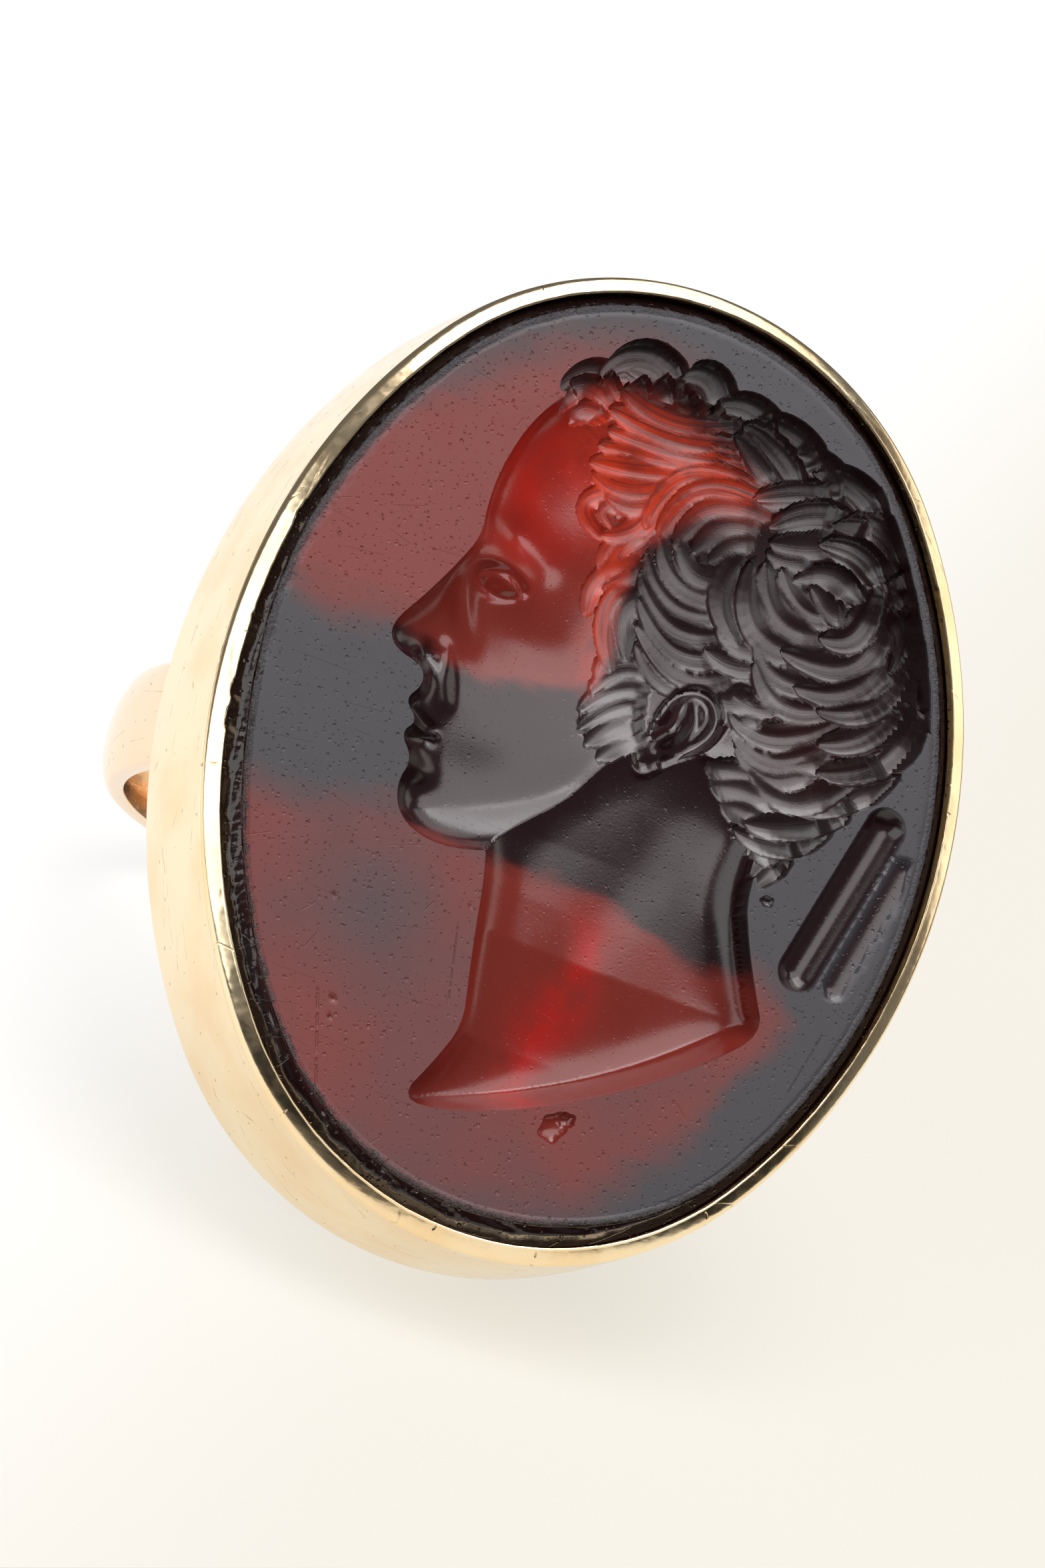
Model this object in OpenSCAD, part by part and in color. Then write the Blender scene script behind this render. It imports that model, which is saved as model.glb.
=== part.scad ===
// Finger ring with a large oval glass intaglio, lying as it comes to rest on a table.
// Millimetres, +Z up, origin at the middle of the bounding box's underside, face towards -Y.
// The ring is drawn face up first: X across the finger, Y along it, Z out of the stone's face,
// with zero where the lip's inner edge is. The last step turns it over onto its side.

/* [Stone] */
// visible length of the stone, along the finger
stone_l = 27; // [25:0.5:29]
// visible width of the stone
stone_w = 21.04; // [19:0.02:22]
// flat field below the lip's edge
field_drop = 0.05; // [0.02:0.01:0.1]
// width of the bevel between field and lip
bevel_w = 0.62; // [0.4:0.02:0.8]
// underside of the stone below the lip's edge
stone_deep = 4.15; // [3.6:0.05:4.2]
// play between stone and gold
play = 0.05; // [0.03:0.01:0.08]

/* [Setting] */
// width of the lip on top
lip_w = 0.48; // [0.4:0.02:0.6]
// fall of the lip from its inner to its outer edge
lip_fall = 0.29; // [0.2:0.01:0.35]
// how far the side wall swells beyond the lip
wall_swell = 0.13; // [0.08:0.01:0.2]
// height of the bezel
bezel_h = 5.25; // [5.2:0.05:5.6]
// rounding of the bezel's lower edge
foot_r = 0.5; // [0.3:0.05:0.7]

/* [Hoop] */
// inside diameter, for the finger
finger_d = 17.6; // [16:0.1:20]
// width of the hoop
hoop_w = 3.2; // [2.6:0.1:4.5]
// thickness on the crest
hoop_t = 0.95; // [0.8:0.05:0.95]
// thickness of the rims
rim_t = 0.4; // [0.3:0.05:0.6]
// how much wear has taken off where the ring lies on the table
worn = 0.06; // [0.03:0.01:0.1]

/* [Relief] */
// how deep the bust is cut, as a share of the drawn depth
cut_share = 0.85; // [0.6:0.05:0.95]
// columns of the relief's grid
columns = 58; // [30:1:59]
// rows of the relief's grid
rows = 78; // [40:1:79]

/* [Hidden] */
$fn = 96;
a = stone_l / 2;
b = stone_w / 2;
// the oval has four arcs, whose centres lie on a triangle of sides 3, 4 and 5
unit = (a - b) / 2;
end_off = 3 * unit;
side_off = 4 * unit;
end_r = a - end_off;
side_r = b + side_off;
finger_r = finger_d / 2;
hoop_z = -(bezel_h + 0.05 + finger_r);
bevel_fall = 0.51;
girdle_o = 0.16;
pocket_o = girdle_o + play;
floor_z = -stone_deep - play;
// straight runs in a tress of hair, an even number
steps = 6;

// bevel of the stone and the lip's underside above it, as heights over the outline's offset
function bevel_z(o) = -field_drop - bevel_fall * (o + bevel_w) / (girdle_o + bevel_w);
function under_lip(o) = bevel_z(o) + play * 1.2;

// section of the setting: [distance outside the stone's visible edge, height]
lip_top = [for (i = [0:6]) let(k = i / 6) [lip_w * k, -lip_fall * pow(k, 1.7)]];
seam = [[lip_w - 0.005, -lip_fall - 0.05], [lip_w + 0.04, -lip_fall - 0.09]];
wall = [for (i = [1:8]) let(k = i / 8)
    [lip_w + 0.04 + wall_swell * sin(100 * k) / sin(100),
     -lip_fall - 0.09 - (bezel_h - foot_r - lip_fall - 0.09) * k]];
foot = [for (i = [1:6]) let(w = 15 * i)
    [lip_w + 0.04 + wall_swell - foot_r * (1 - cos(w)), -bezel_h + foot_r * (1 - sin(w))]];
setting = concat(lip_top, seam, wall, foot,
    [[-3.5, -bezel_h], [-3.5, floor_z], [pocket_o, floor_z], [pocket_o, under_lip(pocket_o)],
     [0, under_lip(0)]]);

// section of the hoop: [radius, place along the finger]
hoop = concat([[finger_r, -hoop_w / 2 + 0.08], [finger_r + 0.08, -hoop_w / 2]],
    [for (i = [-8:8]) let(k = i / 8)
        [finger_r + rim_t + (hoop_t - rim_t) * sqrt(1 - k * k * 0.999), k * hoop_w / 2]],
    [[finger_r + 0.08, hoop_w / 2], [finger_r, hoop_w / 2 - 0.08]]);

// the table touches the bezel's end and the hoop's rim: their common tangent, seen from the side
bezel_edge = [for (p = concat(lip_top, wall, foot)) [-a - p[0], p[1]]];
far_edge = [for (p = concat(lip_top, wall, foot)) [a + p[0], p[1]]];
hoop_edge = [for (p = hoop) [p[1], hoop_z - p[0]]];
rim_points = concat(bezel_edge, far_edge, hoop_edge);
function reach(d) = max([for (p = rim_points) p * d]);
function across(v) = [v[1], -v[0]] / norm(v);
down = [for (p = bezel_edge, q = hoop_edge) let(d = across(q - p)) if (reach(d) < p * d + 1e-6) d][0];
rest = atan2(-down[0], -down[1]);
level = [cos(rest), -sin(rest)];
centre_y = (reach(level) - reach(-level)) / 2;
lift = reach(down) - worn;

// Outlines of the bust, in millimetres on the stone's face. The face is an ideal head on even
// thirds: hair to brow, brow to nose, nose to chin.
face_line = [[-3.6, 9.9], [-4.5, 8.6], [-4.95, 7.1], [-5.05, 5.9], [-4.95, 5], [-5.35, 4.1], [-6, 2.9],
    [-6.75, 1.75], [-6.45, 1.15], [-5.5, 0.95], [-5.35, 0.45], [-5.75, -0.1], [-5.2, -0.55],
    [-5.6, -1], [-5.05, -1.6], [-5.3, -2.4], [-4.95, -3.25], [-3.9, -3.65], [-2.4, -3.4],
    [-0.6, -2.55], [1.1, -1.2], [2.2, 0.6], [5.5, 0.6], [7.6, 3.5], [7.9, 7], [6, 10], [2.5, 11.3],
    [-1, 11.2]];
neck_line = [[-2.6, -2.2], [-2.15, -3.9], [-1.95, -5.6], [-1.75, -6.9], [-1.55, -8.1], [-2.05, -9.3],
    [-2.75, -10.6], [-1.2, -10.5], [1.2, -9.6], [3.6, -8.3], [5.6, -6.8], [6.9, -5.55],
    [6.3, -4.4], [5.75, -3.2], [5.3, -1.9], [5.6, 0.5], [2, 3]];
neck_front = [[-10.6, -2.75], [-9.3, -2.05], [-8.1, -1.55], [-6.9, -1.75], [-5.6, -1.95], [-3.9, -2.15],
    [-2.2, -2.6]];
cut_line = [[-3.2, -10.9], [-1.2, -10.5], [1.2, -9.6], [3.6, -8.3], [5.6, -6.8], [7.4, -5]];
hair_line = [[-3.3, 9.2], [-3.4, 10.1], [-2.3, 10.8], [0.2, 11.1], [2.6, 10.9], [4.8, 9.9], [6.6, 8.8],
    [7.9, 7.7], [8.5, 6.4], [8.6, 4.6], [8.2, 2.8], [7.2, 0.9], [5.7, -0.9], [4.4, -0.7], [3.5, 0.3],
    [3.4, 1.6], [3.3, 3.2], [2.3, 4], [1.5, 3.2], [1.2, 1.3], [0.1, 1.1], [-0.3, 2.1], [0, 3.6],
    [-0.5, 5], [-0.5, 6.4], [-1.1, 7.2], [-1.7, 8.4], [-2.2, 9.1]];
// tresses of hair, bent from the root to the tip: [root, middle, tip, half width]
tresses = [
    [[-2.1, 10.2], [-3, 10.6], [-3.9, 9.8], 0.28], [[-2.1, 9.9], [-3, 10.2], [-3.6, 9.4], 0.28],
    [[-2.2, 9.5], [-2.7, 9.7], [-3.1, 9.2], 0.24], [[-0.5, 10.7], [-1.6, 11.45], [-2.7, 10.65], 0.42],
    [[-1.3, 10.3], [-1.9, 10.9], [-2.5, 10.6], 0.3], [[-0.6, 10.5], [-1.2, 11], [-2, 11.15], 0.35],
    [[0.6, 10.7], [0.3, 11.5], [-0.4, 11.45], 0.4], [[0.7, 10.4], [-0.2, 10.8], [-0.5, 11.3], 0.28],
    [[2.6, 10.4], [1.8, 11.1], [0.8, 11], 0.38], [[3.9, 10.2], [3.2, 10.8], [2.1, 11.1], 0.38],
    [[3.8, 9.6], [3, 10.4], [1.8, 10.9], 0.34], [[3.2, 9.5], [2.5, 10.1], [1.7, 10.6], 0.26],
    [[4.8, 9.7], [4.3, 10.3], [3.3, 10.5], 0.34], [[6.1, 9.5], [5.3, 10.1], [4.2, 10.3], 0.36],
    [[5.9, 9.4], [5.2, 10], [4.6, 9.9], 0.3], [[7.4, 8.5], [6.6, 9.2], [5.5, 9.4], 0.36],
    [[7.2, 8.5], [6.4, 9.1], [5.3, 9.2], 0.34], [[6.9, 7.9], [6.2, 8.5], [5.1, 8.6], 0.32],
    [[1.5, 10.7], [-0.3, 10.3], [-1.9, 10.7], 0.28], [[2, 10.3], [-0.1, 9.9], [-2, 10.1], 0.3],
    [[2.3, 10], [0.2, 9.6], [-1.9, 9.5], 0.3], [[2.6, 9.8], [0.3, 9.3], [-2, 9], 0.3],
    [[1.6, 9.5], [-0.2, 8.8], [-2.1, 8.5], 0.3], [[0.9, 9.2], [-0.4, 8.2], [-1.9, 8.2], 0.28],
    [[0.6, 8.9], [-0.2, 7.9], [-1.3, 7.8], 0.24], [[-0.7, 8], [-1.8, 7.3], [-1.1, 6.6], 0.24],
    [[0.1, 8.3], [-0.2, 7.2], [-1.1, 6.7], 0.26], [[-0.5, 7.7], [-1.2, 7.4], [-0.9, 7], 0.18],
    [[3.4, 9.2], [0.9, 9.1], [0.1, 7.4], 0.3], [[3.6, 8.95], [1.4, 8.8], [0.6, 7.2], 0.3],
    [[3.6, 8.6], [1.9, 8.5], [1.1, 7.2], 0.28], [[3.4, 8.2], [2.3, 8.1], [1.7, 7.2], 0.28],
    [[3.4, 7.8], [2.7, 7.7], [2.2, 7.1], 0.24], [[0.4, 7.4], [-0.3, 6.6], [-0.5, 5.6], 0.22],
    [[0.1, 7], [-0.7, 6.5], [-0.9, 5.8], 0.2], [[0.4, 6.1], [-0.7, 5.5], [-0.9, 4.4], 0.26],
    [[0.5, 5.8], [-0.2, 4.6], [0.3, 3.2], 0.3], [[0.3, 6.7], [0, 5.9], [-0.6, 5.3], 0.22],
    [[3.1, 6.9], [1.9, 6.6], [1.2, 7.4], 0.26], [[3.1, 6.4], [1.6, 6.2], [0.7, 7.2], 0.3],
    [[3.1, 5.9], [1.5, 5.6], [0.4, 6.7], 0.3], [[3.3, 5.4], [1.7, 5], [0.4, 6.1], 0.3],
    [[3.5, 4.9], [2, 4.4], [0.6, 5.4], 0.3], [[3.8, 4.4], [2.3, 3.8], [0.7, 4.7], 0.3],
    [[3, 3.7], [1.8, 3.4], [0.8, 4.1], 0.28], [[4.5, 4.2], [3.9, 3.5], [2.6, 3.5], 0.28],
    [[4.7, 3.6], [4.3, 3.1], [3.4, 3.2], 0.24], [[3.3, 7.9], [2.8, 6.4], [3.6, 5.2], 0.32],
    [[5.9, 5.7], [4.1, 5.7], [3.4, 7.5], 0.36], [[6.3, 6.3], [4.6, 6.2], [3.8, 7.6], 0.36],
    [[6.2, 6.9], [5.1, 6.7], [4.3, 7.6], 0.3], [[6.9, 7.7], [6.8, 6.5], [5.9, 6.1], 0.34],
    [[6.6, 7.3], [5.7, 7.8], [4.7, 7.4], 0.26], [[7.4, 7.2], [6.9, 5.6], [5, 5.4], 0.36],
    [[6.5, 4.9], [5.1, 4.6], [4.2, 5.3], 0.3], [[7.8, 6.5], [7.2, 5], [5.6, 4.5], 0.36],
    [[6.7, 4.3], [5.3, 3.9], [4.3, 4.8], 0.32], [[8.2, 6], [7.8, 4.7], [6.4, 4.1], 0.34],
    [[6.9, 3.9], [5.4, 2.9], [4, 3.1], 0.3], [[7.1, 3.5], [5.6, 2.3], [4.1, 2.7], 0.3],
    [[8.4, 5.2], [7.9, 3.9], [6.7, 3.2], 0.34], [[6.9, 2.8], [5.7, 1.8], [4.3, 2.2], 0.28],
    [[8.8, 4.6], [8.3, 3.1], [6.9, 2.4], 0.34], [[7.6, 2.3], [6.3, 1.3], [4.9, 1.7], 0.28],
    [[8.5, 2.7], [7.6, 1.7], [6.4, 1.1], 0.28], [[8.6, 7], [9, 6], [8.9, 4.9], 0.3],
    [[7.3, 7.9], [8.2, 8.2], [8.8, 7.2], 0.34], [[7.3, 7.6], [8.2, 7.3], [8.6, 6.2], 0.32],
    [[7.4, 7.2], [8, 6.7], [8.1, 5.8], 0.3], [[6.6, 1.2], [4.6, 1.5], [3.2, 0.8], 0.28],
    [[6.2, 0.8], [4.5, 1], [3.4, 0.2], 0.28], [[5.8, 0.3], [4.7, 0.5], [3.9, -0.1], 0.24],
    [[7.4, 1.1], [6.3, 0.5], [5.2, 0.3], 0.28], [[7, 0.5], [6.1, -0.1], [4.9, 0], 0.28],
    [[5.2, -0.2], [4.5, -0.5], [4.7, -1.1], 0.22], [[6.4, -0.2], [5.6, -0.6], [5.3, -1.4], 0.26],
    [[4.7, -0.3], [4.1, -0.5], [4.2, -0.9], 0.16], [[6.2, -0.7], [5.9, -1.1], [5.6, -1.6], 0.2],
    [[1.7, 3.2], [0.6, 3.2], [-0.1, 2.3], 0.3], [[1.6, 2.9], [0.5, 2.6], [-0.3, 1.7], 0.3],
    [[1.5, 2.5], [0.6, 2.1], [-0.2, 1.2], 0.3], [[1.5, 2.1], [0.7, 1.6], [0.1, 0.8], 0.28],
    [[1.6, 1.8], [1, 1.2], [0.5, 0.5], 0.26], [[1.7, 1.5], [1.5, 0.9], [1.1, 0.4], 0.22],
    [[0.9, 3.7], [0.1, 3.4], [0, 2.7], 0.2], [[4.9, 9.8], [3.9, 9.6], [2.9, 9.2], 0.3],
    [[5.4, 9.3], [4.5, 9.2], [3.6, 8.6], 0.32], [[5.4, 8.8], [4.7, 8.4], [3.7, 8.2], 0.28],
    [[5, 8.3], [4.4, 7.9], [3.7, 7.9], 0.24], [[4.8, 5.5], [3.9, 5.1], [3, 5.3], 0.26],
    [[4.5, 4.9], [3.7, 4.5], [2.8, 4.7], 0.26], [[6.4, 7], [5.9, 6.9], [5.2, 7.4], 0.24],
    [[7, 3.1], [6.2, 2.4], [5.2, 2.4], 0.24], [[5.2, 4], [4.7, 3.6], [3.9, 3.7], 0.24],
    [[1.1, 5.6], [0.3, 4.9], [0.6, 3.6], 0.26]];
// troughs behind the nape: [start, end, half width, depth]
troughs = [[[7.4, -3.5], [8.75, 1.15], 0.66, 0.44], [[8.55, -3.6], [9.6, 0.2], 0.46, 0.14]];
// how much the head goes on deepening for each millimetre from its edge
bowl = 0.3;

function clamp01(v) = max(0, min(1, v));
function wrap(v) = v - 360 * floor((v + 180) / 360);
function chaikin(p) = [for (i = [0:len(p) - 1], k = [0.25, 0.75]) p[i] + (p[(i + 1) % len(p)] - p[i]) * k];
function chaikin_open(p) = concat([p[0]],
    [for (i = [0:len(p) - 2], k = [0.25, 0.75]) p[i] + (p[i + 1] - p[i]) * k], [p[len(p) - 1]]);
// edges of an outline: [start, direction, length]
function edges(p) = [for (i = [0:len(p) - 1]) let(v = p[(i + 1) % len(p)] - p[i])
    [p[i], v / norm(v), norm(v)]];
face_edges = edges(chaikin(face_line));
neck_edges = edges(chaikin(neck_line));
hair_edges = edges(chaikin(hair_line));
cut_run = chaikin_open(cut_line);

function inside(e, p) = len([for (s = e) let(t = s[0] + s[1] * s[2])
    if ((s[0][1] > p[1]) != (t[1] > p[1]) &&
        p[0] < s[0][0] + (p[1] - s[0][1]) * s[1][0] / s[1][1]) 1]) % 2 == 1;
// smooth stand-in for the distance to an outline
function soft(e, p) = let(parts = [for (s = e)
    let(w = p - s[0], g = w * s[1], h = abs(w[0] * s[1][1] - w[1] * s[1][0]) + 0.001, r = s[2] - g)
    (r / norm([h, r]) + g / norm([h, g])) / (h * h)]) sqrt(2 / (parts * [for (s = e) 1]));
function dome(d, w) = let(k = clamp01(d / w)) sqrt(1 - (1 - k) * (1 - k));
function swell(e, p, w, more = 0) = inside(e, p) ? dome(soft(e, p) + more, w) : 0;
function cushion(e, p, h, w) = inside(e, p) ? let(d = soft(e, p)) h * dome(d, w) + bowl * d : 0;
function run_gap(p, s, t) = let(l = t - s, k = clamp01((p - s) * l / (l * l))) norm(p - s - l * k);
function ridge(p, s, t, w) = exp(-pow(run_gap(p, s, t) / w, 2));
function blob(p, c, rx, ry, turn = 0) = let(w = p - c, u = (w[0] * cos(turn) + w[1] * sin(turn)) / rx,
    v = (-w[0] * sin(turn) + w[1] * cos(turn)) / ry) exp(-(u * u + v * v));
// a thin arc, for the eyelids
function lid(p, c, r, from, to, w) = let(v = p - c, half = (to - from) / 2,
    d = wrap(atan2(v[1], v[0]) - (from + to) / 2), end = max(abs(d) - half, 0) * PI / 180 * r)
    exp(-pow(norm([norm(v) - r, end]) / w, 2));

function face_planes(p) =
    0.1 * ridge(p, [-4.9, 5.6], [-3.6, 5.75], 0.5) + 0.1 * ridge(p, [-3.6, 5.75], [-2.4, 5.3], 0.5)
    - 0.4 * blob(p, [-3.85, 4.5], 0.95, 0.62) + 0.36 * blob(p, [-3.95, 4.22], 0.45, 0.42)
    + 0.17 * lid(p, [-3.7, 3.42], 1.15, 48, 128, 0.16) + 0.1 * lid(p, [-3.72, 5.02], 1.15, 232, 300, 0.12)
    - 0.26 * blob(p, [-4.65, 3.2], 0.42, 1.1, 25) + 0.3 * blob(p, [-5.2, 1.5], 0.4, 0.42)
    - 0.1 * ridge(p, [-4.75, 1.9], [-4.3, 0.5], 0.28) - 0.3 * blob(p, [-5.68, 1.15], 0.22, 0.12)
    + 0.18 * ridge(p, [-5.35, -0.18], [-4.5, -0.42], 0.22)
    + 0.18 * ridge(p, [-5.25, -0.94], [-4.6, -0.74], 0.24)
    - 0.22 * ridge(p, [-5.6, -0.56], [-4.35, -0.54], 0.13) - 0.14 * blob(p, [-4.7, -1.6], 0.6, 0.28)
    + 0.16 * blob(p, [-4.5, -2.5], 0.8, 0.7) + 0.14 * blob(p, [-2.2, 2.9], 1.5, 1, -15)
    - 0.16 * blob(p, [-2.6, 0.2], 1.2, 1.3) - 0.12 * blob(p, [-1.8, 6.2], 0.9, 1.4)
    + 0.12 * blob(p, [-0.2, -0.9], 1.3, 0.8, 40);
function head_base(p) = cushion(face_edges, p, 1, 1.6);
function head_depth(p) = let(h = head_base(p))
    h > 0 ? max(0.02, h + face_planes(p) * clamp01(h / 0.6)) : 0;

function neck_depth(p) = !inside(neck_edges, p) ? 0 :
    let(cut = min([for (i = [0:len(cut_run) - 2]) run_gap(p, cut_run[i], cut_run[i + 1])]),
        behind = max(p[0] - lookup(p[1], neck_front), 0))
    max(0, min(0.08 + 2.8 * cut, 0.9 * dome(soft(neck_edges, p), 1.7) + 0.86 * (1 - exp(-behind / 2.6))
        + 0.05 * ridge(p, [3.4, 0], [0.4, -7.6], 0.9) + 0.12 * max(-5.2 - p[1], 0)));

// depth of the hair's floor, a field of soft clumps on which the tresses lie
function clumps(p) = 0.1 * (1 + sin(105 * p[0] + 40 * p[1] + 30) * sin(110 * p[1] - 35 * p[0] + 60));
function hair_floor(p) = max(0.55, 1.5 * swell(hair_edges, p, 1.6, 0.35), head_base(p)) + clumps(p);
function bent(t, k) = let(pull = 2 * t[1] - (t[0] + t[2]) / 2)
    (1 - k) * (1 - k) * t[0] + 2 * k * (1 - k) * pull + k * k * t[2];
function turn_of(v, w) = sign(v[0] * w[1] - v[1] * w[0]);
// runs of each tress: [points, depth of the floor there, half width, side to which it bends, reach]
tress_runs = [for (t = tresses) let(line = [for (i = [0:steps]) bent(t, i / steps)])
    [line, [for (p = line) hair_floor(p)], t[3], turn_of(t[1] - t[0], t[2] - t[1]),
     max([for (p = line) norm(p - line[steps / 2])]) + 1.65 * t[3]]];
// a tress rises from its root to its tip, and its outer side lies over its neighbour
function tress_depth(p, t) = let(
    gaps = [for (i = [0:steps - 1]) run_gap(p, t[0][i], t[0][i + 1])], gap = min(gaps),
    i = [for (j = [0:steps - 1]) if (gaps[j] == gap) j][0], s = t[0][i], v = t[0][i + 1] - s,
    part = clamp01((p - s) * v / (v * v)), k = (i + part) / steps,
    half = 1.6 * t[2] * (0.25 + 0.75 * sqrt(1 - k * k * k)) * (0.7 + 0.3 * clamp01(4 * k)),
    e = gap / half, off = -turn_of(v, p - s) * t[3] * e)
    e >= 1 ? 0 : let(body = pow(1 - e * e, 0.7))
        t[1][i] * (1 - part) + t[1][i + 1] * part - 0.04 - 0.3 * pow(clamp01(1 - 3.5 * k), 2)
        + (0.32 * (1 + k) + 0.26 * off) * t[2] * body;
function hair_depth(p) = max(concat([1.5 * swell(hair_edges, p, 1.6, 0.1) - 0.12],
    [for (t = tress_runs) if (norm(p - t[0][steps / 2]) < t[4]) tress_depth(p, t)]));

// the ear, in its own leaning axes
ear_at = [2.45, 2.05];
ear_lean = 20;
ear_size = 1.18;
ear_line = [[-0.55, -0.6], [-0.68, 0.2], [-0.56, 0.95], [-0.12, 1.5], [0.5, 1.55], [0.98, 1.12], [1, 0.4],
    [0.72, -0.3], [0.36, -0.9], [0.14, -1.42], [-0.3, -1.6], [-0.64, -1.2]];
helix = [[-0.44, 0.1], [-0.46, 0.75], [-0.12, 1.27], [0.42, 1.32], [0.78, 0.97], [0.8, 0.4], [0.53, -0.25],
    [0.22, -0.8]];
fold = [[0.12, 0.9], [0.4, 0.45], [0.3, -0.1], [0.02, -0.6]];
ear_edges = edges(chaikin(ear_line));
function ear_axes(p) = let(w = (p - ear_at) / ear_size)
    [w[0] * cos(ear_lean) - w[1] * sin(ear_lean), w[0] * sin(ear_lean) + w[1] * cos(ear_lean)];
function along(q, line, w) =
    exp(-pow(min([for (i = [0:len(line) - 2]) run_gap(q, line[i], line[i + 1])]) / w, 2));
function ear_depth(p, q) = max(head_base(p), 1.2) + 0.12 + 0.3 * along(q, helix, 0.19)
    + 0.2 * along(q, fold, 0.2) - 0.34 * blob(q, [-0.1, -0.1], 0.36, 0.5)
    + 0.22 * blob(q, [-0.5, -0.25], 0.2, 0.28) + 0.28 * blob(q, [-0.2, -1.15], 0.36, 0.34);
function bust_depth(p) = let(h = max(head_depth(p), neck_depth(p), hair_depth(p)),
    q = ear_axes(p), k = norm(q) > 1.9 || !inside(ear_edges, q) ? 0 : clamp01(soft(ear_edges, q) / 0.14))
    k == 0 ? h : h * (1 - k) + ear_depth(p, q) * k;
function trough_depth(p) = max([for (t = troughs) let(k = min(run_gap(p, t[0], t[1]) / t[2], 1))
    t[3] * (1 - k * k)]);
function relief(p) = cut_share * max(
    (p[0] < -7 || p[0] > 9.6 || p[1] > 12.8 || p[1] < -11) ? 0 : bust_depth(p),
    p[0] < 6.5 ? 0 : trough_depth(p));

// distance from the middle to the four-arc oval, let out by o, in a direction
function oval_r(w, o) = let(c = abs(cos(w)), s = abs(sin(w)), er = end_r + o, sr = side_r + o,
    ends = s * 0.8 * er > c * (end_off + 0.6 * er), k = ends ? s * end_off : -c * side_off,
    r = ends ? er : sr, m = ends ? end_off : side_off) k + sqrt(k * k - m * m + r * r);
// grid lines bunched over the bust
function lines(n, from, to, share) = let(core = floor(n * share),
    low = floor((n - core) * (from + 1) / (2 - to + from)), high = n - core - low)
    concat([for (i = [0:low - 1]) -1 + (from + 1) * i / low],
        [for (i = [0:core - 1]) from + (to - from) * i / core],
        [for (i = [0:high]) to + (1 - to) * i / high]);
us = lines(columns, -0.7, 0.9, 0.9);
vs = lines(rows, -0.86, 0.95, 0.94);
// the square grid pressed into the oval
function place(u, v) = let(q = [u * sqrt(1 - v * v / 2), v * sqrt(1 - u * u / 2)],
    w = atan2(q[1] * a, q[0] * b)) norm(q) * oval_r(w, -bevel_w) * [cos(w), sin(w)];

// where a line from inside the bust to outside it leaves it
function leave(p, q, n = 4) = let(m = (p + q) / 2)
    n == 0 ? m : relief(m) > 0.02 ? leave(m, q, n - 1) : leave(p, m, n - 1);

module intaglio_stone() {
    nu = len(us);
    nv = len(vs);
    flat = [for (v = vs, u = us) place(u, v)];
    sunk = [for (j = [0:nv - 1], i = [0:nu - 1])
        i == 0 || j == 0 || i == nu - 1 || j == nv - 1 ? 0 : relief(flat[j * nu + i])];
    // points next to the bust's outline move onto it, so that its edge comes out clean
    field = [for (j = [0:nv - 1], i = [0:nu - 1]) let(n = j * nu + i, p = flat[n], out = sunk[n] == 0,
        near = i == 0 || j == 0 || i == nu - 1 || j == nv - 1 ? [] :
            [for (m = [n - 1, n + 1, n - nu, n + nu]) if ((sunk[m] == 0) != out)
                let(q = out ? leave(flat[m], p) : leave(p, flat[m]))
                if (norm(q - p) < 0.5 * norm(flat[m] - p)) q],
        q = len(near) == 0 ? p : [for (m = near) 1 / len(near)] * near)
        [for (k = [0:2]) k < 2 ? q[k] : -field_drop - (len(near) == 0 ? sunk[n] : 0)]];
    rim = concat([for (i = [0:nu - 2]) i], [for (j = [0:nv - 2]) j * nu + nu - 1],
        [for (i = [nu - 1:-1:1]) (nv - 1) * nu + i], [for (j = [nv - 1:-1:1]) j * nu]);
    n = len(rim);
    rings = [[girdle_o, -field_drop - bevel_fall], [girdle_o, -stone_deep + 0.5], [-0.5, -stone_deep]];
    skirt = [for (g = rings, i = rim)
        let(p = field[i], w = atan2(p[1], p[0]), r = oval_r(w, g[0])) [r * cos(w), r * sin(w), g[1]]];
    base = len(field);
    function at(g, k) = g < 0 ? rim[k % n] : base + g * n + k % n;
    tops = [for (j = [0:nv - 2], i = [0:nu - 2], h = [0, 1])
        let(p = j * nu + i, q = p + 1, r = p + nu, s = r + 1,
            slant = abs(field[p][2] - field[s][2]) < abs(field[q][2] - field[r][2]))
        slant ? (h == 0 ? [p, s, q] : [p, r, s]) : (h == 0 ? [p, r, q] : [q, r, s])];
    sides = [for (g = [-1:len(rings) - 2], k = [0:n - 1], h = [0, 1])
        h == 0 ? [at(g, k), at(g, k + 1), at(g + 1, k)] : [at(g, k + 1), at(g + 1, k + 1), at(g + 1, k)]];
    under = [[for (k = [0:n - 1]) at(len(rings) - 1, k)]];
    color([0.32, 0.05, 0.05])
        lay() polyhedron(concat(field, skirt), concat(tops, sides, under), convexity = 10);
}

// one arc of the setting: a full ring cut to a wedge that ends on the seams
module setting_arc(at, r, wedge) intersection() {
    translate(at) rotate_extrude() polygon([for (p = setting) [r + p[0], p[1]]]);
    translate([0, 0, -bezel_h - 1]) linear_extrude(bezel_h + 2) polygon(wedge);
}

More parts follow.
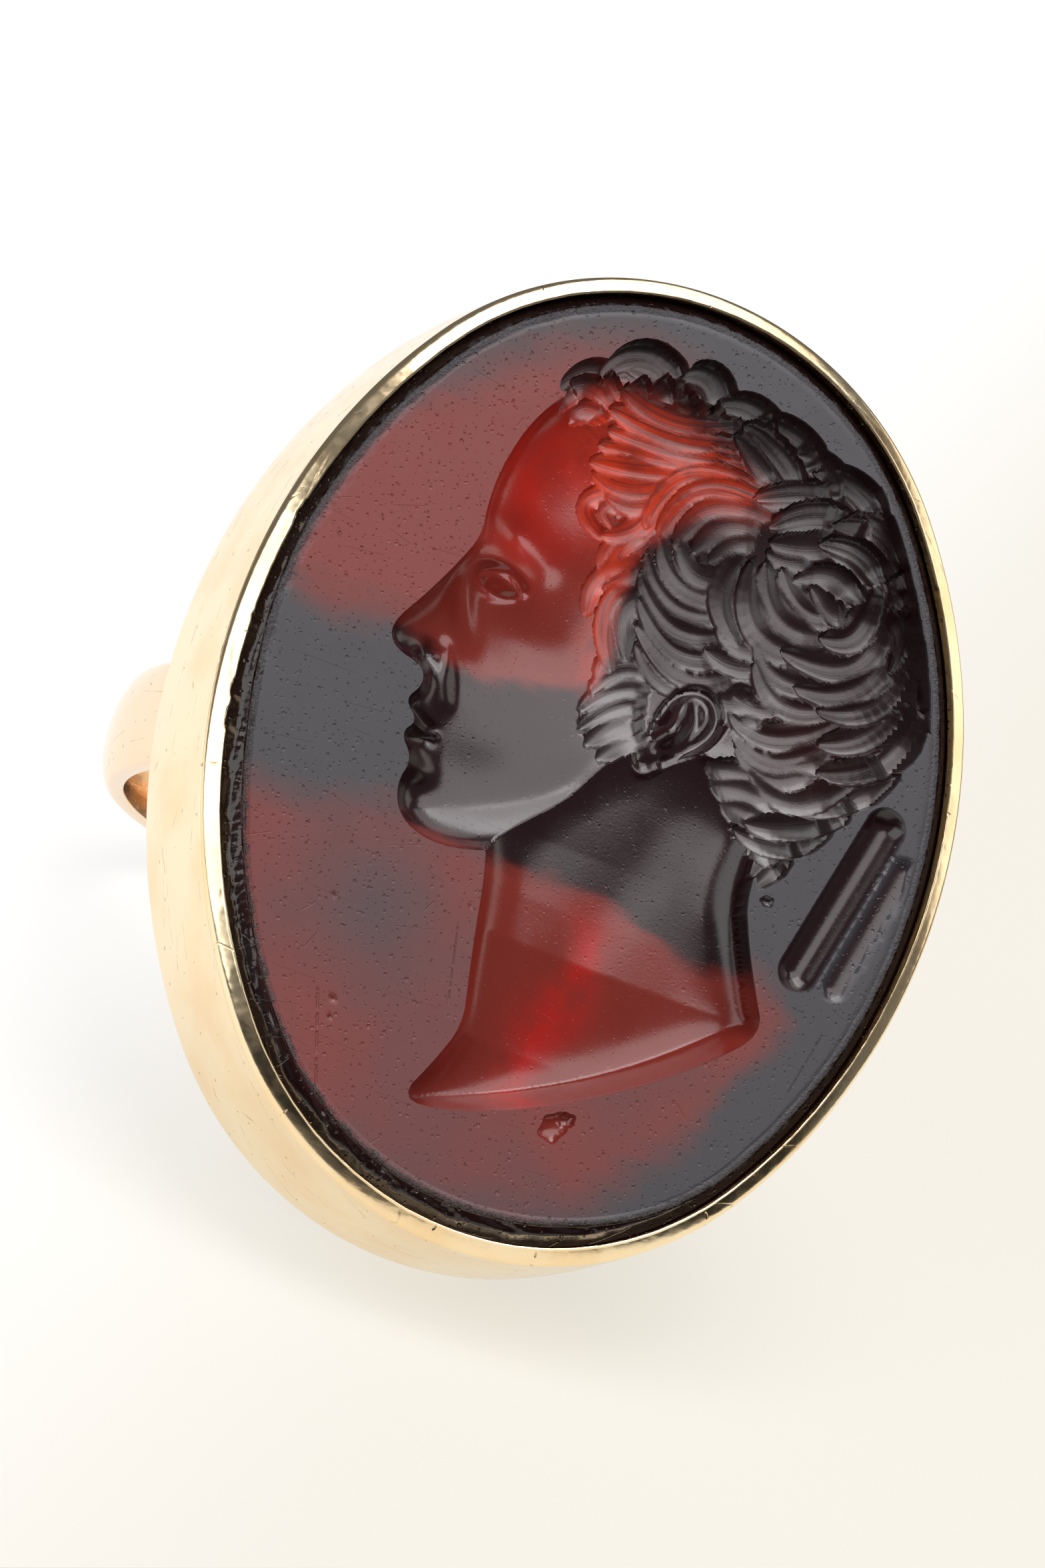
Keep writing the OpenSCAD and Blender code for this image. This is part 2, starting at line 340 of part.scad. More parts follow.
module bezel() {
    // a point on a seam's line, well outside the setting
    far = [0, end_off] + 6 * [4, 3];
    for (s = [-1, 1]) {
        setting_arc([0, s * end_off, 0], end_r,
            [[0, s * end_off], [far[0], s * far[1]], [-far[0], s * far[1]]]);
        setting_arc([-s * side_off, 0, 0], side_r,
            [[0, end_off], [s * far[0], far[1]], [s * far[0], -far[1]], [0, -end_off]]);
    }
    // back plate, let in by a hair on both sides
    translate([0, 0, 0.05 - bezel_h]) linear_extrude(bezel_h + floor_z - 0.1)
        polygon([for (s = [[1, 1], [-1, 1], [-1, -1], [1, -1]], i = [0, 1])
            let(k = s[0] * s[1] > 0 ? i : 1 - i, p = k == 0 ? [b - 2.9, 5] : [4, a - 2.9])
            [s[0] * p[0], s[1] * p[1]]]);
}

module finger_hoop()
    translate([0, 0, hoop_z]) rotate([90, 0, 0]) rotate_extrude() polygon(hoop);

module lay() translate([0, -centre_y, lift]) rotate([rest, 0, 0]) children();

module ring_mount()
    color([0.93, 0.76, 0.45]) difference() {
        lay() union() {
            bezel();
            finger_hoop();
        }
        // the bezel's end and the hoop's rim are worn flat where they touch the table
        translate([-b, -a - 2, -1]) cube([2 * b, 2 * a + 4, 1]);
    }

ring_mount();
intaglio_stone();
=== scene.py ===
"""Gold finger ring with a banded glass intaglio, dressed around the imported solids.

The ring lies on its side. Shapes are drawn in the ring's own axes, in millimetres: X across the
finger, Y along it, Z out of the stone's face. `Lie` turns them over onto the table, in metres.
"""

from __future__ import annotations

import logging
import math
from dataclasses import dataclass
from enum import Enum

import bpy
import numpy as np
from mathutils import Matrix, Vector

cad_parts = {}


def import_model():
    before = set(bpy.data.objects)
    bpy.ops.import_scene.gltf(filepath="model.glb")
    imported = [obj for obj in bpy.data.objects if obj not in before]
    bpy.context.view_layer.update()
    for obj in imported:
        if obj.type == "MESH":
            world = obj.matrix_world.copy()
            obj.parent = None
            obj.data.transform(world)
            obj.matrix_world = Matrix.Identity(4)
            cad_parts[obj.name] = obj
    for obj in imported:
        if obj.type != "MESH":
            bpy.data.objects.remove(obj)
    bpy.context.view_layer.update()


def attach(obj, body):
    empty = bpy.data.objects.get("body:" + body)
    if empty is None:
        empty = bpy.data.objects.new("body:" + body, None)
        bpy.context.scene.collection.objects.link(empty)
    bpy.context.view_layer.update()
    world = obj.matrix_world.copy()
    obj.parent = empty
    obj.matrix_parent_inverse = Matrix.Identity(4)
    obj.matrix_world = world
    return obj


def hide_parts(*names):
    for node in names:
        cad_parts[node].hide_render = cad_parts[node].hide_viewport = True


log = logging.getLogger("ring")
MM = 0.001
FLAT = (1.0, 1.0, 0.0)  # times a place, leaves its height out
HOOP_CENTRE = -14.1
RELIEF = 0.85  # share of their drawn depth to which the bust and the troughs are cut
Array = np.ndarray
Point = tuple[float, float]
Outline = tuple[Point, ...]
Colour = tuple[float, float, float]


class Slot(Enum):
    """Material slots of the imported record."""

    GOLD = "gold"
    GLASS = "banded_glass"


def clamp01(value: Array) -> Array:
    """Limits values to 0..1."""
    return np.clip(value, 0.0, 1.0)


def wrap(degrees: Array) -> Array:
    """Brings angles into -180..180 degrees."""
    return (degrees + 180.0) % 360.0 - 180.0


def cosd(degrees: Array | float) -> Array | float:
    """Cosine of an angle in degrees."""
    return np.cos(np.radians(degrees))


def sind(degrees: Array | float) -> Array | float:
    """Sine of an angle in degrees."""
    return np.sin(np.radians(degrees))


def bell(distance: Array, width: float) -> Array:
    """A bell curve that is 1 at no distance."""
    return np.exp(-((distance / width) ** 2))


def dome(distance: Array, width: float) -> Array:
    """Quarter-round rise from an edge, flat beyond the width."""
    return np.sqrt(1.0 - (1.0 - clamp01(distance / width)) ** 2)


def rounded(points: Outline, rounds: int, closed: bool = True) -> Array:
    """Rounds an outline by cutting its corners.

    Args:
        points: The outline's corners.
        rounds: How often the corners are cut.
        closed: Whether the last point joins the first.

    Returns:
        The finer outline, one point a row.
    """
    line = np.array(points, float)
    for _ in range(rounds):
        start = line if closed else line[:-1]
        end = np.roll(line, -1, 0) if closed else line[1:]
        cut = np.stack([0.75 * start + 0.25 * end, 0.25 * start + 0.75 * end], 1).reshape(-1, 2)
        line = cut if closed else np.concatenate([line[:1], cut, line[-1:]])
    return line


def inside(outline: Array, x: Array, y: Array) -> Array:
    """Tells which points lie inside a closed outline.

    Args:
        outline: The outline's points.
        x: Places across.
        y: Places along.

    Returns:
        True for each point inside.
    """
    odd = np.zeros(x.shape, bool)
    for (x0, y0), (x1, y1) in zip(outline, np.roll(outline, -1, 0)):
        if y0 != y1:
            odd ^= ((y0 > y) != (y1 > y)) & (x < x0 + (y - y0) * (x1 - x0) / (y1 - y0))
    return odd


def soft_distance(outline: Array, x: Array, y: Array) -> Array:
    """A smooth stand-in for the distance to a closed outline, without creases along its middle.

    Args:
        outline: The outline's points.
        x: Places across.
        y: Places along.

    Returns:
        The distance at each point, in millimetres.
    """
    total = np.zeros(x.shape)
    for (x0, y0), (x1, y1) in zip(outline, np.roll(outline, -1, 0)):
        length = math.hypot(x1 - x0, y1 - y0)
        tx, ty = (x1 - x0) / length, (y1 - y0) / length
        run = (x - x0) * tx + (y - y0) * ty
        off = np.abs((x - x0) * ty - (y - y0) * tx) + 1e-3
        total += ((length - run) / np.hypot(off, length - run) + run / np.hypot(off, run)) / off**2
    return np.sqrt(2.0 / total)


def run_distance(start: Point, end: Point, x: Array, y: Array) -> Array:
    """Distance from points to a straight run.

    Args:
        start: The run's start.
        end: The run's end.
        x: Places across.
        y: Places along.

    Returns:
        The distance at each point.
    """
    dx, dy = end[0] - start[0], end[1] - start[1]
    share = clamp01(((x - start[0]) * dx + (y - start[1]) * dy) / (dx * dx + dy * dy))
    return np.hypot(x - start[0] - share * dx, y - start[1] - share * dy)


def line_distance(line: Array, x: Array, y: Array) -> Array:
    """Distance from points to an open line."""
    return np.min([run_distance(start, end, x, y) for start, end in zip(line, line[1:])], axis=0)


def blob(x: Array, y: Array, centre: Point, size: Point, turn: float) -> Array:
    """A soft oval mound.

    Args:
        x: Places across.
        y: Places along.
        centre: The mound's middle.
        size: Its half sizes.
        turn: How far it is turned, in degrees.

    Returns:
        Heights from 0 to 1.
    """
    u = ((x - centre[0]) * cosd(turn) + (y - centre[1]) * sind(turn)) / size[0]
    v = (-(x - centre[0]) * sind(turn) + (y - centre[1]) * cosd(turn)) / size[1]
    return np.exp(-(u * u + v * v))


@dataclass(frozen=True)
class Oval:
    """The stone's visible outline: four arcs whose centres sit on a 3-4-5 triangle."""

    half_length: float = 13.5
    half_width: float = 10.52

    @property
    def unit(self) -> float:
        """Size of the 3-4-5 triangle."""
        return (self.half_length - self.half_width) / 2

    def radius(self, angle: Array, offset: float | Array) -> Array:
        """Distance from the middle to the outline.

        Args:
            angle: Directions in degrees.
            offset: How far the outline is let out.

        Returns:
            The distance in each direction.
        """
        end_off, side_off = 3 * self.unit, 4 * self.unit
        end_r = self.half_length - end_off + offset
        side_r = self.half_width + side_off + offset
        c, s = np.abs(cosd(angle)), np.abs(sind(angle))
        ends = s * 0.8 * end_r > c * (end_off + 0.6 * end_r)
        along = np.where(ends, s * end_off, -c * side_off)
        radius = np.where(ends, end_r, side_r)
        centre = np.where(ends, end_off, side_off)
        return along + np.sqrt(along**2 - centre**2 + radius**2)

    def ring(self, count: int) -> tuple[Array, Array]:
        """Points round the outline and the outward directions there.

        Args:
            count: How many points.

        Returns:
            The points and the unit normals, one a row.
        """
        turn = math.degrees(math.atan(3 / 4))
        end_off, side_off = 3 * self.unit, 4 * self.unit
        end_r, side_r = self.half_length - end_off, self.half_width + side_off
        arcs = [
            (-side_off, 0.0, side_r, -turn, turn), (0.0, end_off, end_r, turn, 180 - turn),
            (side_off, 0.0, side_r, 180 - turn, 180 + turn), (0.0, -end_off, end_r, 180 + turn, 360 - turn)]
        lengths = np.array([r * math.radians(b - a) for _, _, r, a, b in arcs])
        stops = np.concatenate([[0.0], np.cumsum(lengths)])
        run = np.arange(count) / count * stops[-1]
        which = np.clip(np.searchsorted(stops, run, side="right") - 1, 0, 3)
        cx, cy, r, a, b = (np.array([arc[i] for arc in arcs])[which] for i in range(5))
        angle = a + (b - a) * (run - stops[which]) / lengths[which]
        normal = np.stack([cosd(angle), sind(angle)], 1)
        return np.stack([cx, cy], 1) + r[:, None] * normal, normal


@dataclass(frozen=True)
class Lie:
    """How the ring lies on the table: turned about X, then moved."""

    turn: float = 55.72619
    back: float = 6.299494
    lift: float = 14.393321

    def matrix(self) -> Matrix:
        """Ring axes in millimetres to the table's in metres."""
        return (Matrix.Translation(Vector((0, -self.back, self.lift)) * MM)
                @ Matrix.Rotation(math.radians(self.turn), 4, "X") @ Matrix.Scale(MM, 4))

    def points(self, ring: Array) -> Array:
        """Moves ring points onto the table, where the lowest of them are worn flat.

        Args:
            ring: Points in ring axes, in millimetres.

        Returns:
            The points in metres.
        """
        matrix = np.array(self.matrix())
        moved = ring @ matrix[:3, :3].T + matrix[:3, 3]
        moved[:, 2] = np.maximum(moved[:, 2], 0.0)
        return moved


def mesh_object(name: str, points: Array, faces: Array | list, sharp: float) -> bpy.types.Object:
    """Makes a smooth-shaded object out of points and faces.

    Args:
        name: The piece's name.
        points: Points in metres.
        faces: Corner numbers of each face.
        sharp: Angle in degrees from which an edge stays sharp.

    Returns:
        The new object, linked to the scene.
    """
    mesh = bpy.data.meshes.new(name)
    mesh.from_pydata(points.tolist(), [], faces if isinstance(faces, list) else faces.tolist())
    mesh.validate()
    mesh.shade_smooth()
    mesh.set_sharp_from_angle(angle=math.radians(sharp))
    piece = bpy.data.objects.new(name, mesh)
    bpy.context.scene.collection.objects.link(piece)
    return piece


def band_faces(low: int, high: int, count: int) -> list[list[int]]:
    """Faces between two rings of so many points, whose first points have the given numbers."""
    here = np.arange(count)
    after = (here + 1) % count
    return np.stack([low + here, low + after, high + after, high + here], 1).tolist()


def keep_values(piece: bpy.types.Object, name: str, values: Array) -> None:
    """Keeps one number for each point of a piece, for its finish to read."""
    piece.data.attributes.new(name, "FLOAT", "POINT").data.foreach_set("value", values.astype(np.float32))


@dataclass(frozen=True)
class Tress:
    """A bundle of strands bent from its root through a middle to its tip, where it lies on its neighbours."""

    root: Point
    middle: Point
    tip: Point
    half: float

    def line(self, runs: int = 12) -> Array:
        """Points along the middle of the tress, one a row."""
        root, middle, tip = (np.array(point) for point in (self.root, self.middle, self.tip))
        k = np.linspace(0, 1, runs + 1)[:, None]
        return (1 - k) ** 2 * root + 2 * k * (1 - k) * (2 * middle - (root + tip) / 2) + k**2 * tip

    def bend(self) -> float:
        """The side to which the tress bends: 1 to the left, -1 to the right."""
        (ax, ay), (bx, by), (cx, cy) = self.root, self.middle, self.tip
        return math.copysign(1.0, (bx - ax) * (cy - by) - (by - ay) * (cx - bx))

    def near(self, x: Array, y: Array) -> Array:
        """Tells which points may lie on the tress."""
        line, room = self.line(), 1.65 * self.half
        low, high = line.min(0) - room, line.max(0) + room
        return (x > low[0]) & (x < high[0]) & (y > low[1]) & (y < high[1])

    def lay(self, x: Array, y: Array, ground: Array) -> tuple[Array, Array, Array]:
        """Lays the tress over the head.

        Args:
            x: Places across.
            y: Places along.
            ground: Depth of the hair's floor at the points of the tress's line.

        Returns:
            The depth at each place, 0 beside the tress; how far across it the place is; how full it is there.
        """
        line = self.line()
        runs = len(line) - 1
        gap, run, side = np.full(x.shape, 9.0), np.zeros(x.shape), np.zeros(x.shape)
        for number, (start, end) in enumerate(zip(line, line[1:])):
            dx, dy = end - start
            part = clamp01(((x - start[0]) * dx + (y - start[1]) * dy) / (dx * dx + dy * dy))
            ox, oy = x - start[0] - part * dx, y - start[1] - part * dy
            far = np.hypot(ox, oy)
            closer = far < gap
            gap, run = np.where(closer, far, gap), np.where(closer, (number + part) / runs, run)
            side = np.where(closer, np.sign(dx * oy - dy * ox), side)
        half = 1.6 * self.half * (0.25 + 0.75 * np.sqrt(1 - run**3)) * (0.7 + 0.3 * clamp01(4 * run))
        edge = gap / half
        off = -side * self.bend() * np.minimum(edge, 1)
        body = np.clip(1 - edge * edge, 0, None) ** 0.7
        count, groove = (2, 0.022) if self.half > 0.28 else (1, 0.014)
        strand = groove * np.cos(math.pi * count * off + 1.5 * run) * np.sqrt(body)
        floor = np.interp(run, np.linspace(0, 1, runs + 1), ground) - 0.04
        swell = (0.32 * (1 + run) + 0.26 * off) * self.half * body
        depth = floor - 0.3 * clamp01(1 - 3.5 * run) ** 2 + swell + strand
        return np.where(edge < 1, depth, 0.0), off + 0.6 * run, np.sqrt(body)


@dataclass
class Bust:
    """The bust sunk into the stone: an ideal head on even thirds, short curled hair and a bare neck."""

    face: Outline = (
        (-3.6, 9.9), (-4.5, 8.6), (-4.95, 7.1), (-5.05, 5.9), (-4.95, 5.0), (-5.35, 4.1), (-6.0, 2.9),
        (-6.75, 1.75), (-6.45, 1.15), (-5.5, 0.95), (-5.35, 0.45), (-5.75, -0.1), (-5.2, -0.55),
        (-5.6, -1.0), (-5.05, -1.6), (-5.3, -2.4), (-4.95, -3.25), (-3.9, -3.65), (-2.4, -3.4),
        (-0.6, -2.55), (1.1, -1.2), (2.2, 0.6), (5.5, 0.6), (7.6, 3.5), (7.9, 7.0), (6.0, 10.0),
        (2.5, 11.3), (-1.0, 11.2))
    neck: Outline = (
        (-2.6, -2.2), (-2.15, -3.9), (-1.95, -5.6), (-1.75, -6.9), (-1.55, -8.1), (-2.05, -9.3),
        (-2.75, -10.6), (-1.2, -10.5), (1.2, -9.6), (3.6, -8.3), (5.6, -6.8), (6.9, -5.55),
        (6.3, -4.4), (5.75, -3.2), (5.3, -1.9), (5.6, 0.5), (2.0, 3.0))
    neck_front: Outline = (
        (-10.6, -2.75), (-9.3, -2.05), (-8.1, -1.55), (-6.9, -1.75), (-5.6, -1.95), (-3.9, -2.15),
        (-2.2, -2.6))
    cut: Outline = (
        (-3.2, -10.9), (-1.2, -10.5), (1.2, -9.6), (3.6, -8.3), (5.6, -6.8), (7.4, -5.0))
    hair: Outline = (
        (-3.3, 9.2), (-3.4, 10.1), (-2.3, 10.8), (0.2, 11.1), (2.6, 10.9), (4.8, 9.9), (6.6, 8.8),
        (7.9, 7.7), (8.5, 6.4), (8.6, 4.6), (8.2, 2.8), (7.2, 0.9), (5.7, -0.9), (4.4, -0.7), (3.5, 0.3),
        (3.4, 1.6), (3.3, 3.2), (2.3, 4.0), (1.5, 3.2), (1.2, 1.3), (0.1, 1.1), (-0.3, 2.1), (0.0, 3.6),
        (-0.5, 5.0), (-0.5, 6.4), (-1.1, 7.2), (-1.7, 8.4), (-2.2, 9.1))
    tresses: tuple[Tress, ...] = tuple(Tress(*row) for row in (
        ((-2.1, 10.2), (-3, 10.6), (-3.9, 9.8), 0.28), ((-2.1, 9.9), (-3, 10.2), (-3.6, 9.4), 0.28),
        ((-2.2, 9.5), (-2.7, 9.7), (-3.1, 9.2), 0.24), ((-0.5, 10.7), (-1.6, 11.45), (-2.7, 10.65), 0.42),
        ((-1.3, 10.3), (-1.9, 10.9), (-2.5, 10.6), 0.3), ((-0.6, 10.5), (-1.2, 11), (-2, 11.15), 0.35),
        ((0.6, 10.7), (0.3, 11.5), (-0.4, 11.45), 0.4), ((0.7, 10.4), (-0.2, 10.8), (-0.5, 11.3), 0.28),
        ((2.6, 10.4), (1.8, 11.1), (0.8, 11), 0.38), ((3.9, 10.2), (3.2, 10.8), (2.1, 11.1), 0.38),
        ((3.8, 9.6), (3, 10.4), (1.8, 10.9), 0.34), ((3.2, 9.5), (2.5, 10.1), (1.7, 10.6), 0.26),
        ((4.8, 9.7), (4.3, 10.3), (3.3, 10.5), 0.34), ((6.1, 9.5), (5.3, 10.1), (4.2, 10.3), 0.36),
        ((5.9, 9.4), (5.2, 10), (4.6, 9.9), 0.3), ((7.4, 8.5), (6.6, 9.2), (5.5, 9.4), 0.36),
        ((7.2, 8.5), (6.4, 9.1), (5.3, 9.2), 0.34), ((6.9, 7.9), (6.2, 8.5), (5.1, 8.6), 0.32),
        ((1.5, 10.7), (-0.3, 10.3), (-1.9, 10.7), 0.28), ((2, 10.3), (-0.1, 9.9), (-2, 10.1), 0.3),
        ((2.3, 10), (0.2, 9.6), (-1.9, 9.5), 0.3), ((2.6, 9.8), (0.3, 9.3), (-2, 9), 0.3),
        ((1.6, 9.5), (-0.2, 8.8), (-2.1, 8.5), 0.3), ((0.9, 9.2), (-0.4, 8.2), (-1.9, 8.2), 0.28),
        ((0.6, 8.9), (-0.2, 7.9), (-1.3, 7.8), 0.24), ((-0.7, 8), (-1.8, 7.3), (-1.1, 6.6), 0.24),
        ((0.1, 8.3), (-0.2, 7.2), (-1.1, 6.7), 0.26), ((-0.5, 7.7), (-1.2, 7.4), (-0.9, 7), 0.18),
        ((3.4, 9.2), (0.9, 9.1), (0.1, 7.4), 0.3), ((3.6, 8.95), (1.4, 8.8), (0.6, 7.2), 0.3),
        ((3.6, 8.6), (1.9, 8.5), (1.1, 7.2), 0.28), ((3.4, 8.2), (2.3, 8.1), (1.7, 7.2), 0.28),
        ((3.4, 7.8), (2.7, 7.7), (2.2, 7.1), 0.24), ((0.4, 7.4), (-0.3, 6.6), (-0.5, 5.6), 0.22),
        ((0.1, 7), (-0.7, 6.5), (-0.9, 5.8), 0.2), ((0.4, 6.1), (-0.7, 5.5), (-0.9, 4.4), 0.26),
        ((0.5, 5.8), (-0.2, 4.6), (0.3, 3.2), 0.3), ((0.3, 6.7), (0, 5.9), (-0.6, 5.3), 0.22),
        ((3.1, 6.9), (1.9, 6.6), (1.2, 7.4), 0.26), ((3.1, 6.4), (1.6, 6.2), (0.7, 7.2), 0.3),
        ((3.1, 5.9), (1.5, 5.6), (0.4, 6.7), 0.3), ((3.3, 5.4), (1.7, 5), (0.4, 6.1), 0.3),
        ((3.5, 4.9), (2, 4.4), (0.6, 5.4), 0.3), ((3.8, 4.4), (2.3, 3.8), (0.7, 4.7), 0.3),
        ((3, 3.7), (1.8, 3.4), (0.8, 4.1), 0.28), ((4.5, 4.2), (3.9, 3.5), (2.6, 3.5), 0.28),
        ((4.7, 3.6), (4.3, 3.1), (3.4, 3.2), 0.24), ((3.3, 7.9), (2.8, 6.4), (3.6, 5.2), 0.32),
        ((5.9, 5.7), (4.1, 5.7), (3.4, 7.5), 0.36), ((6.3, 6.3), (4.6, 6.2), (3.8, 7.6), 0.36),
        ((6.2, 6.9), (5.1, 6.7), (4.3, 7.6), 0.3), ((6.9, 7.7), (6.8, 6.5), (5.9, 6.1), 0.34),
        ((6.6, 7.3), (5.7, 7.8), (4.7, 7.4), 0.26), ((7.4, 7.2), (6.9, 5.6), (5, 5.4), 0.36),
        ((6.5, 4.9), (5.1, 4.6), (4.2, 5.3), 0.3), ((7.8, 6.5), (7.2, 5), (5.6, 4.5), 0.36),
        ((6.7, 4.3), (5.3, 3.9), (4.3, 4.8), 0.32), ((8.2, 6), (7.8, 4.7), (6.4, 4.1), 0.34),
        ((6.9, 3.9), (5.4, 2.9), (4, 3.1), 0.3), ((7.1, 3.5), (5.6, 2.3), (4.1, 2.7), 0.3),
        ((8.4, 5.2), (7.9, 3.9), (6.7, 3.2), 0.34), ((6.9, 2.8), (5.7, 1.8), (4.3, 2.2), 0.28),
        ((8.8, 4.6), (8.3, 3.1), (6.9, 2.4), 0.34), ((7.6, 2.3), (6.3, 1.3), (4.9, 1.7), 0.28),
        ((8.5, 2.7), (7.6, 1.7), (6.4, 1.1), 0.28), ((8.6, 7), (9, 6), (8.9, 4.9), 0.3),
        ((7.3, 7.9), (8.2, 8.2), (8.8, 7.2), 0.34), ((7.3, 7.6), (8.2, 7.3), (8.6, 6.2), 0.32),
        ((7.4, 7.2), (8, 6.7), (8.1, 5.8), 0.3), ((6.6, 1.2), (4.6, 1.5), (3.2, 0.8), 0.28),
        ((6.2, 0.8), (4.5, 1), (3.4, 0.2), 0.28), ((5.8, 0.3), (4.7, 0.5), (3.9, -0.1), 0.24),
        ((7.4, 1.1), (6.3, 0.5), (5.2, 0.3), 0.28), ((7, 0.5), (6.1, -0.1), (4.9, 0), 0.28),
        ((5.2, -0.2), (4.5, -0.5), (4.7, -1.1), 0.22), ((6.4, -0.2), (5.6, -0.6), (5.3, -1.4), 0.26),
        ((4.7, -0.3), (4.1, -0.5), (4.2, -0.9), 0.16), ((6.2, -0.7), (5.9, -1.1), (5.6, -1.6), 0.2),
        ((1.7, 3.2), (0.6, 3.2), (-0.1, 2.3), 0.3), ((1.6, 2.9), (0.5, 2.6), (-0.3, 1.7), 0.3),
        ((1.5, 2.5), (0.6, 2.1), (-0.2, 1.2), 0.3), ((1.5, 2.1), (0.7, 1.6), (0.1, 0.8), 0.28),
        ((1.6, 1.8), (1, 1.2), (0.5, 0.5), 0.26), ((1.7, 1.5), (1.5, 0.9), (1.1, 0.4), 0.22),
        ((0.9, 3.7), (0.1, 3.4), (0, 2.7), 0.2), ((4.9, 9.8), (3.9, 9.6), (2.9, 9.2), 0.3),
        ((5.4, 9.3), (4.5, 9.2), (3.6, 8.6), 0.32), ((5.4, 8.8), (4.7, 8.4), (3.7, 8.2), 0.28),
        ((5, 8.3), (4.4, 7.9), (3.7, 7.9), 0.24), ((4.8, 5.5), (3.9, 5.1), (3, 5.3), 0.26),
        ((4.5, 4.9), (3.7, 4.5), (2.8, 4.7), 0.26), ((6.4, 7), (5.9, 6.9), (5.2, 7.4), 0.24),
        ((7, 3.1), (6.2, 2.4), (5.2, 2.4), 0.24), ((5.2, 4), (4.7, 3.6), (3.9, 3.7), 0.24),
        ((1.1, 5.6), (0.3, 4.9), (0.6, 3.6), 0.26),
    ))
    ear_at: Point = (2.45, 2.05)
    ear_lean: float = 20.0
    ear_size: float = 1.18
    ear_floor: float = 1.2
    ear_rise: float = 0.12
    ear_soft: float = 0.14
    bowl: float = 0.3
    head_rise: float = 1.0
    head_round: float = 1.6
    hair_rise: float = 1.5
    hair_round: float = 1.6
    hair_least: float = 0.55
    neck_rise: float = 0.9
    neck_round: float = 1.7
    neck_swell: float = 0.86
    neck_reach: float = 2.6
    ear: Outline = (
        (-0.55, -0.6), (-0.68, 0.2), (-0.56, 0.95), (-0.12, 1.5), (0.5, 1.55), (0.98, 1.12), (1.0, 0.4),
        (0.72, -0.3), (0.36, -0.9), (0.14, -1.42), (-0.3, -1.6), (-0.64, -1.2))
    helix: Outline = (
        (-0.44, 0.1), (-0.46, 0.75), (-0.12, 1.27), (0.42, 1.32), (0.78, 0.97), (0.8, 0.4), (0.53, -0.25),
        (0.22, -0.8))
    fold: Outline = ((0.12, 0.9), (0.4, 0.45), (0.3, -0.1), (0.02, -0.6))
    # Outline of the painted glow in the front hair, and below it the line of the painted glow along the
    # throat.
    lit_hair: Outline = (
        (-2.6, 10.4), (-1.4, 10.5), (0.6, 10.6), (1.8, 9.9), (3.3, 9.3), (3.5, 8.7), (2.2, 8.9), (1.2, 8.5),
        (0.5, 7.6), (0.1, 6.8), (-0.2, 5.6), (-0.4, 4.2), (0.1, 3.2), (-0.3, 2.1), (-0.6, 2.6), (-0.9, 4.2),
        (-1.2, 5.9), (-2.1, 6.8), (-2.3, 8.4), (-3.6, 9.1))
    lit_throat: Outline = (
        (1.4, -3.3), (1.9, -4.6), (1.5, -6.2), (1.0, -7.8), (0.6, -9.2))

    def __post_init__(self) -> None:
        """Rounds the outlines."""
        self.face_edge = rounded(self.face, 2)
        self.neck_edge = rounded(self.neck, 2)
        self.hair_edge = rounded(self.hair, 2)
        self.cut_edge = rounded(self.cut, 2, closed=False)
        self.ear_edge = rounded(self.ear, 2)
        self.helix_line = rounded(self.helix, 2, closed=False)
        self.fold_line = rounded(self.fold, 2, closed=False)

    def swell(self, outline: Array, x: Array, y: Array, width: float, more: float) -> Array:
        """Swells an outline to a rounded cushion.

        Args:
            outline: The rounded outline.
            x: Places across.
            y: Places along.
            width: How far the rounding reaches in.
            more: Extra distance from the edge, for a steeper start.

        Returns:
            0 outside the outline, up to 1 inside.
        """
        return np.where(inside(outline, x, y), dome(soft_distance(outline, x, y) + more, width), 0.0)

    def cushion(self, outline: Array, x: Array, y: Array, height: float, width: float) -> Array:
        """Swells an outline to a cushion that goes on deepening to its middle.

        Args:
            outline: The rounded outline.
            x: Places across.
            y: Places along.
            height: Depth of the rounded edge.
            width: How far the edge's rounding reaches in.

        Returns:
            The depth at each place, 0 outside the outline.
        """
        far = soft_distance(outline, x, y)
        return np.where(inside(outline, x, y), height * dome(far, width) + self.bowl * far, 0.0)

    def face_planes(self, x: Array, y: Array) -> Array:
        """Brow, eye, nose wing, lips, chin and cheek, laid over the head's cushion.

        Args:
            x: Places across.
            y: Places along.

        Returns:
            What they add to the depth at each place.
        """
        ridges = [
            (0.1, (-4.9, 5.6), (-3.6, 5.75), 0.5), (0.1, (-3.6, 5.75), (-2.4, 5.3), 0.5),
            (-0.1, (-4.75, 1.9), (-4.3, 0.5), 0.28), (0.18, (-5.35, -0.18), (-4.5, -0.42), 0.22),
            (0.18, (-5.25, -0.94), (-4.6, -0.74), 0.24), (-0.22, (-5.6, -0.56), (-4.35, -0.54), 0.11)]
        blobs = [
            (-0.4, (-3.85, 4.5), (0.95, 0.62), 0), (0.36, (-3.95, 4.22), (0.45, 0.42), 0),
            (-0.26, (-4.65, 3.2), (0.42, 1.1), 25), (0.3, (-5.2, 1.5), (0.4, 0.42), 0),
            (-0.3, (-5.68, 1.15), (0.22, 0.12), 0), (-0.14, (-4.7, -1.6), (0.6, 0.28), 0),
            (0.16, (-4.5, -2.5), (0.8, 0.7), 0), (0.14, (-2.2, 2.9), (1.5, 1.0), -15),
            (-0.16, (-2.6, 0.2), (1.2, 1.3), 0), (-0.12, (-1.8, 6.2), (0.9, 1.4), 0),
            (0.12, (-0.2, -0.9), (1.3, 0.8), 40)]
        lids = [(0.17, (-3.7, 3.42), 1.15, 48, 128, 0.15), (0.1, (-3.72, 5.02), 1.15, 232, 300, 0.12)]
        total = np.zeros(x.shape)
        for height, start, end, width in ridges:
            total += height * bell(run_distance(start, end, x, y), width)
        for height, centre, size, turn in blobs:
            total += height * blob(x, y, centre, size, turn)
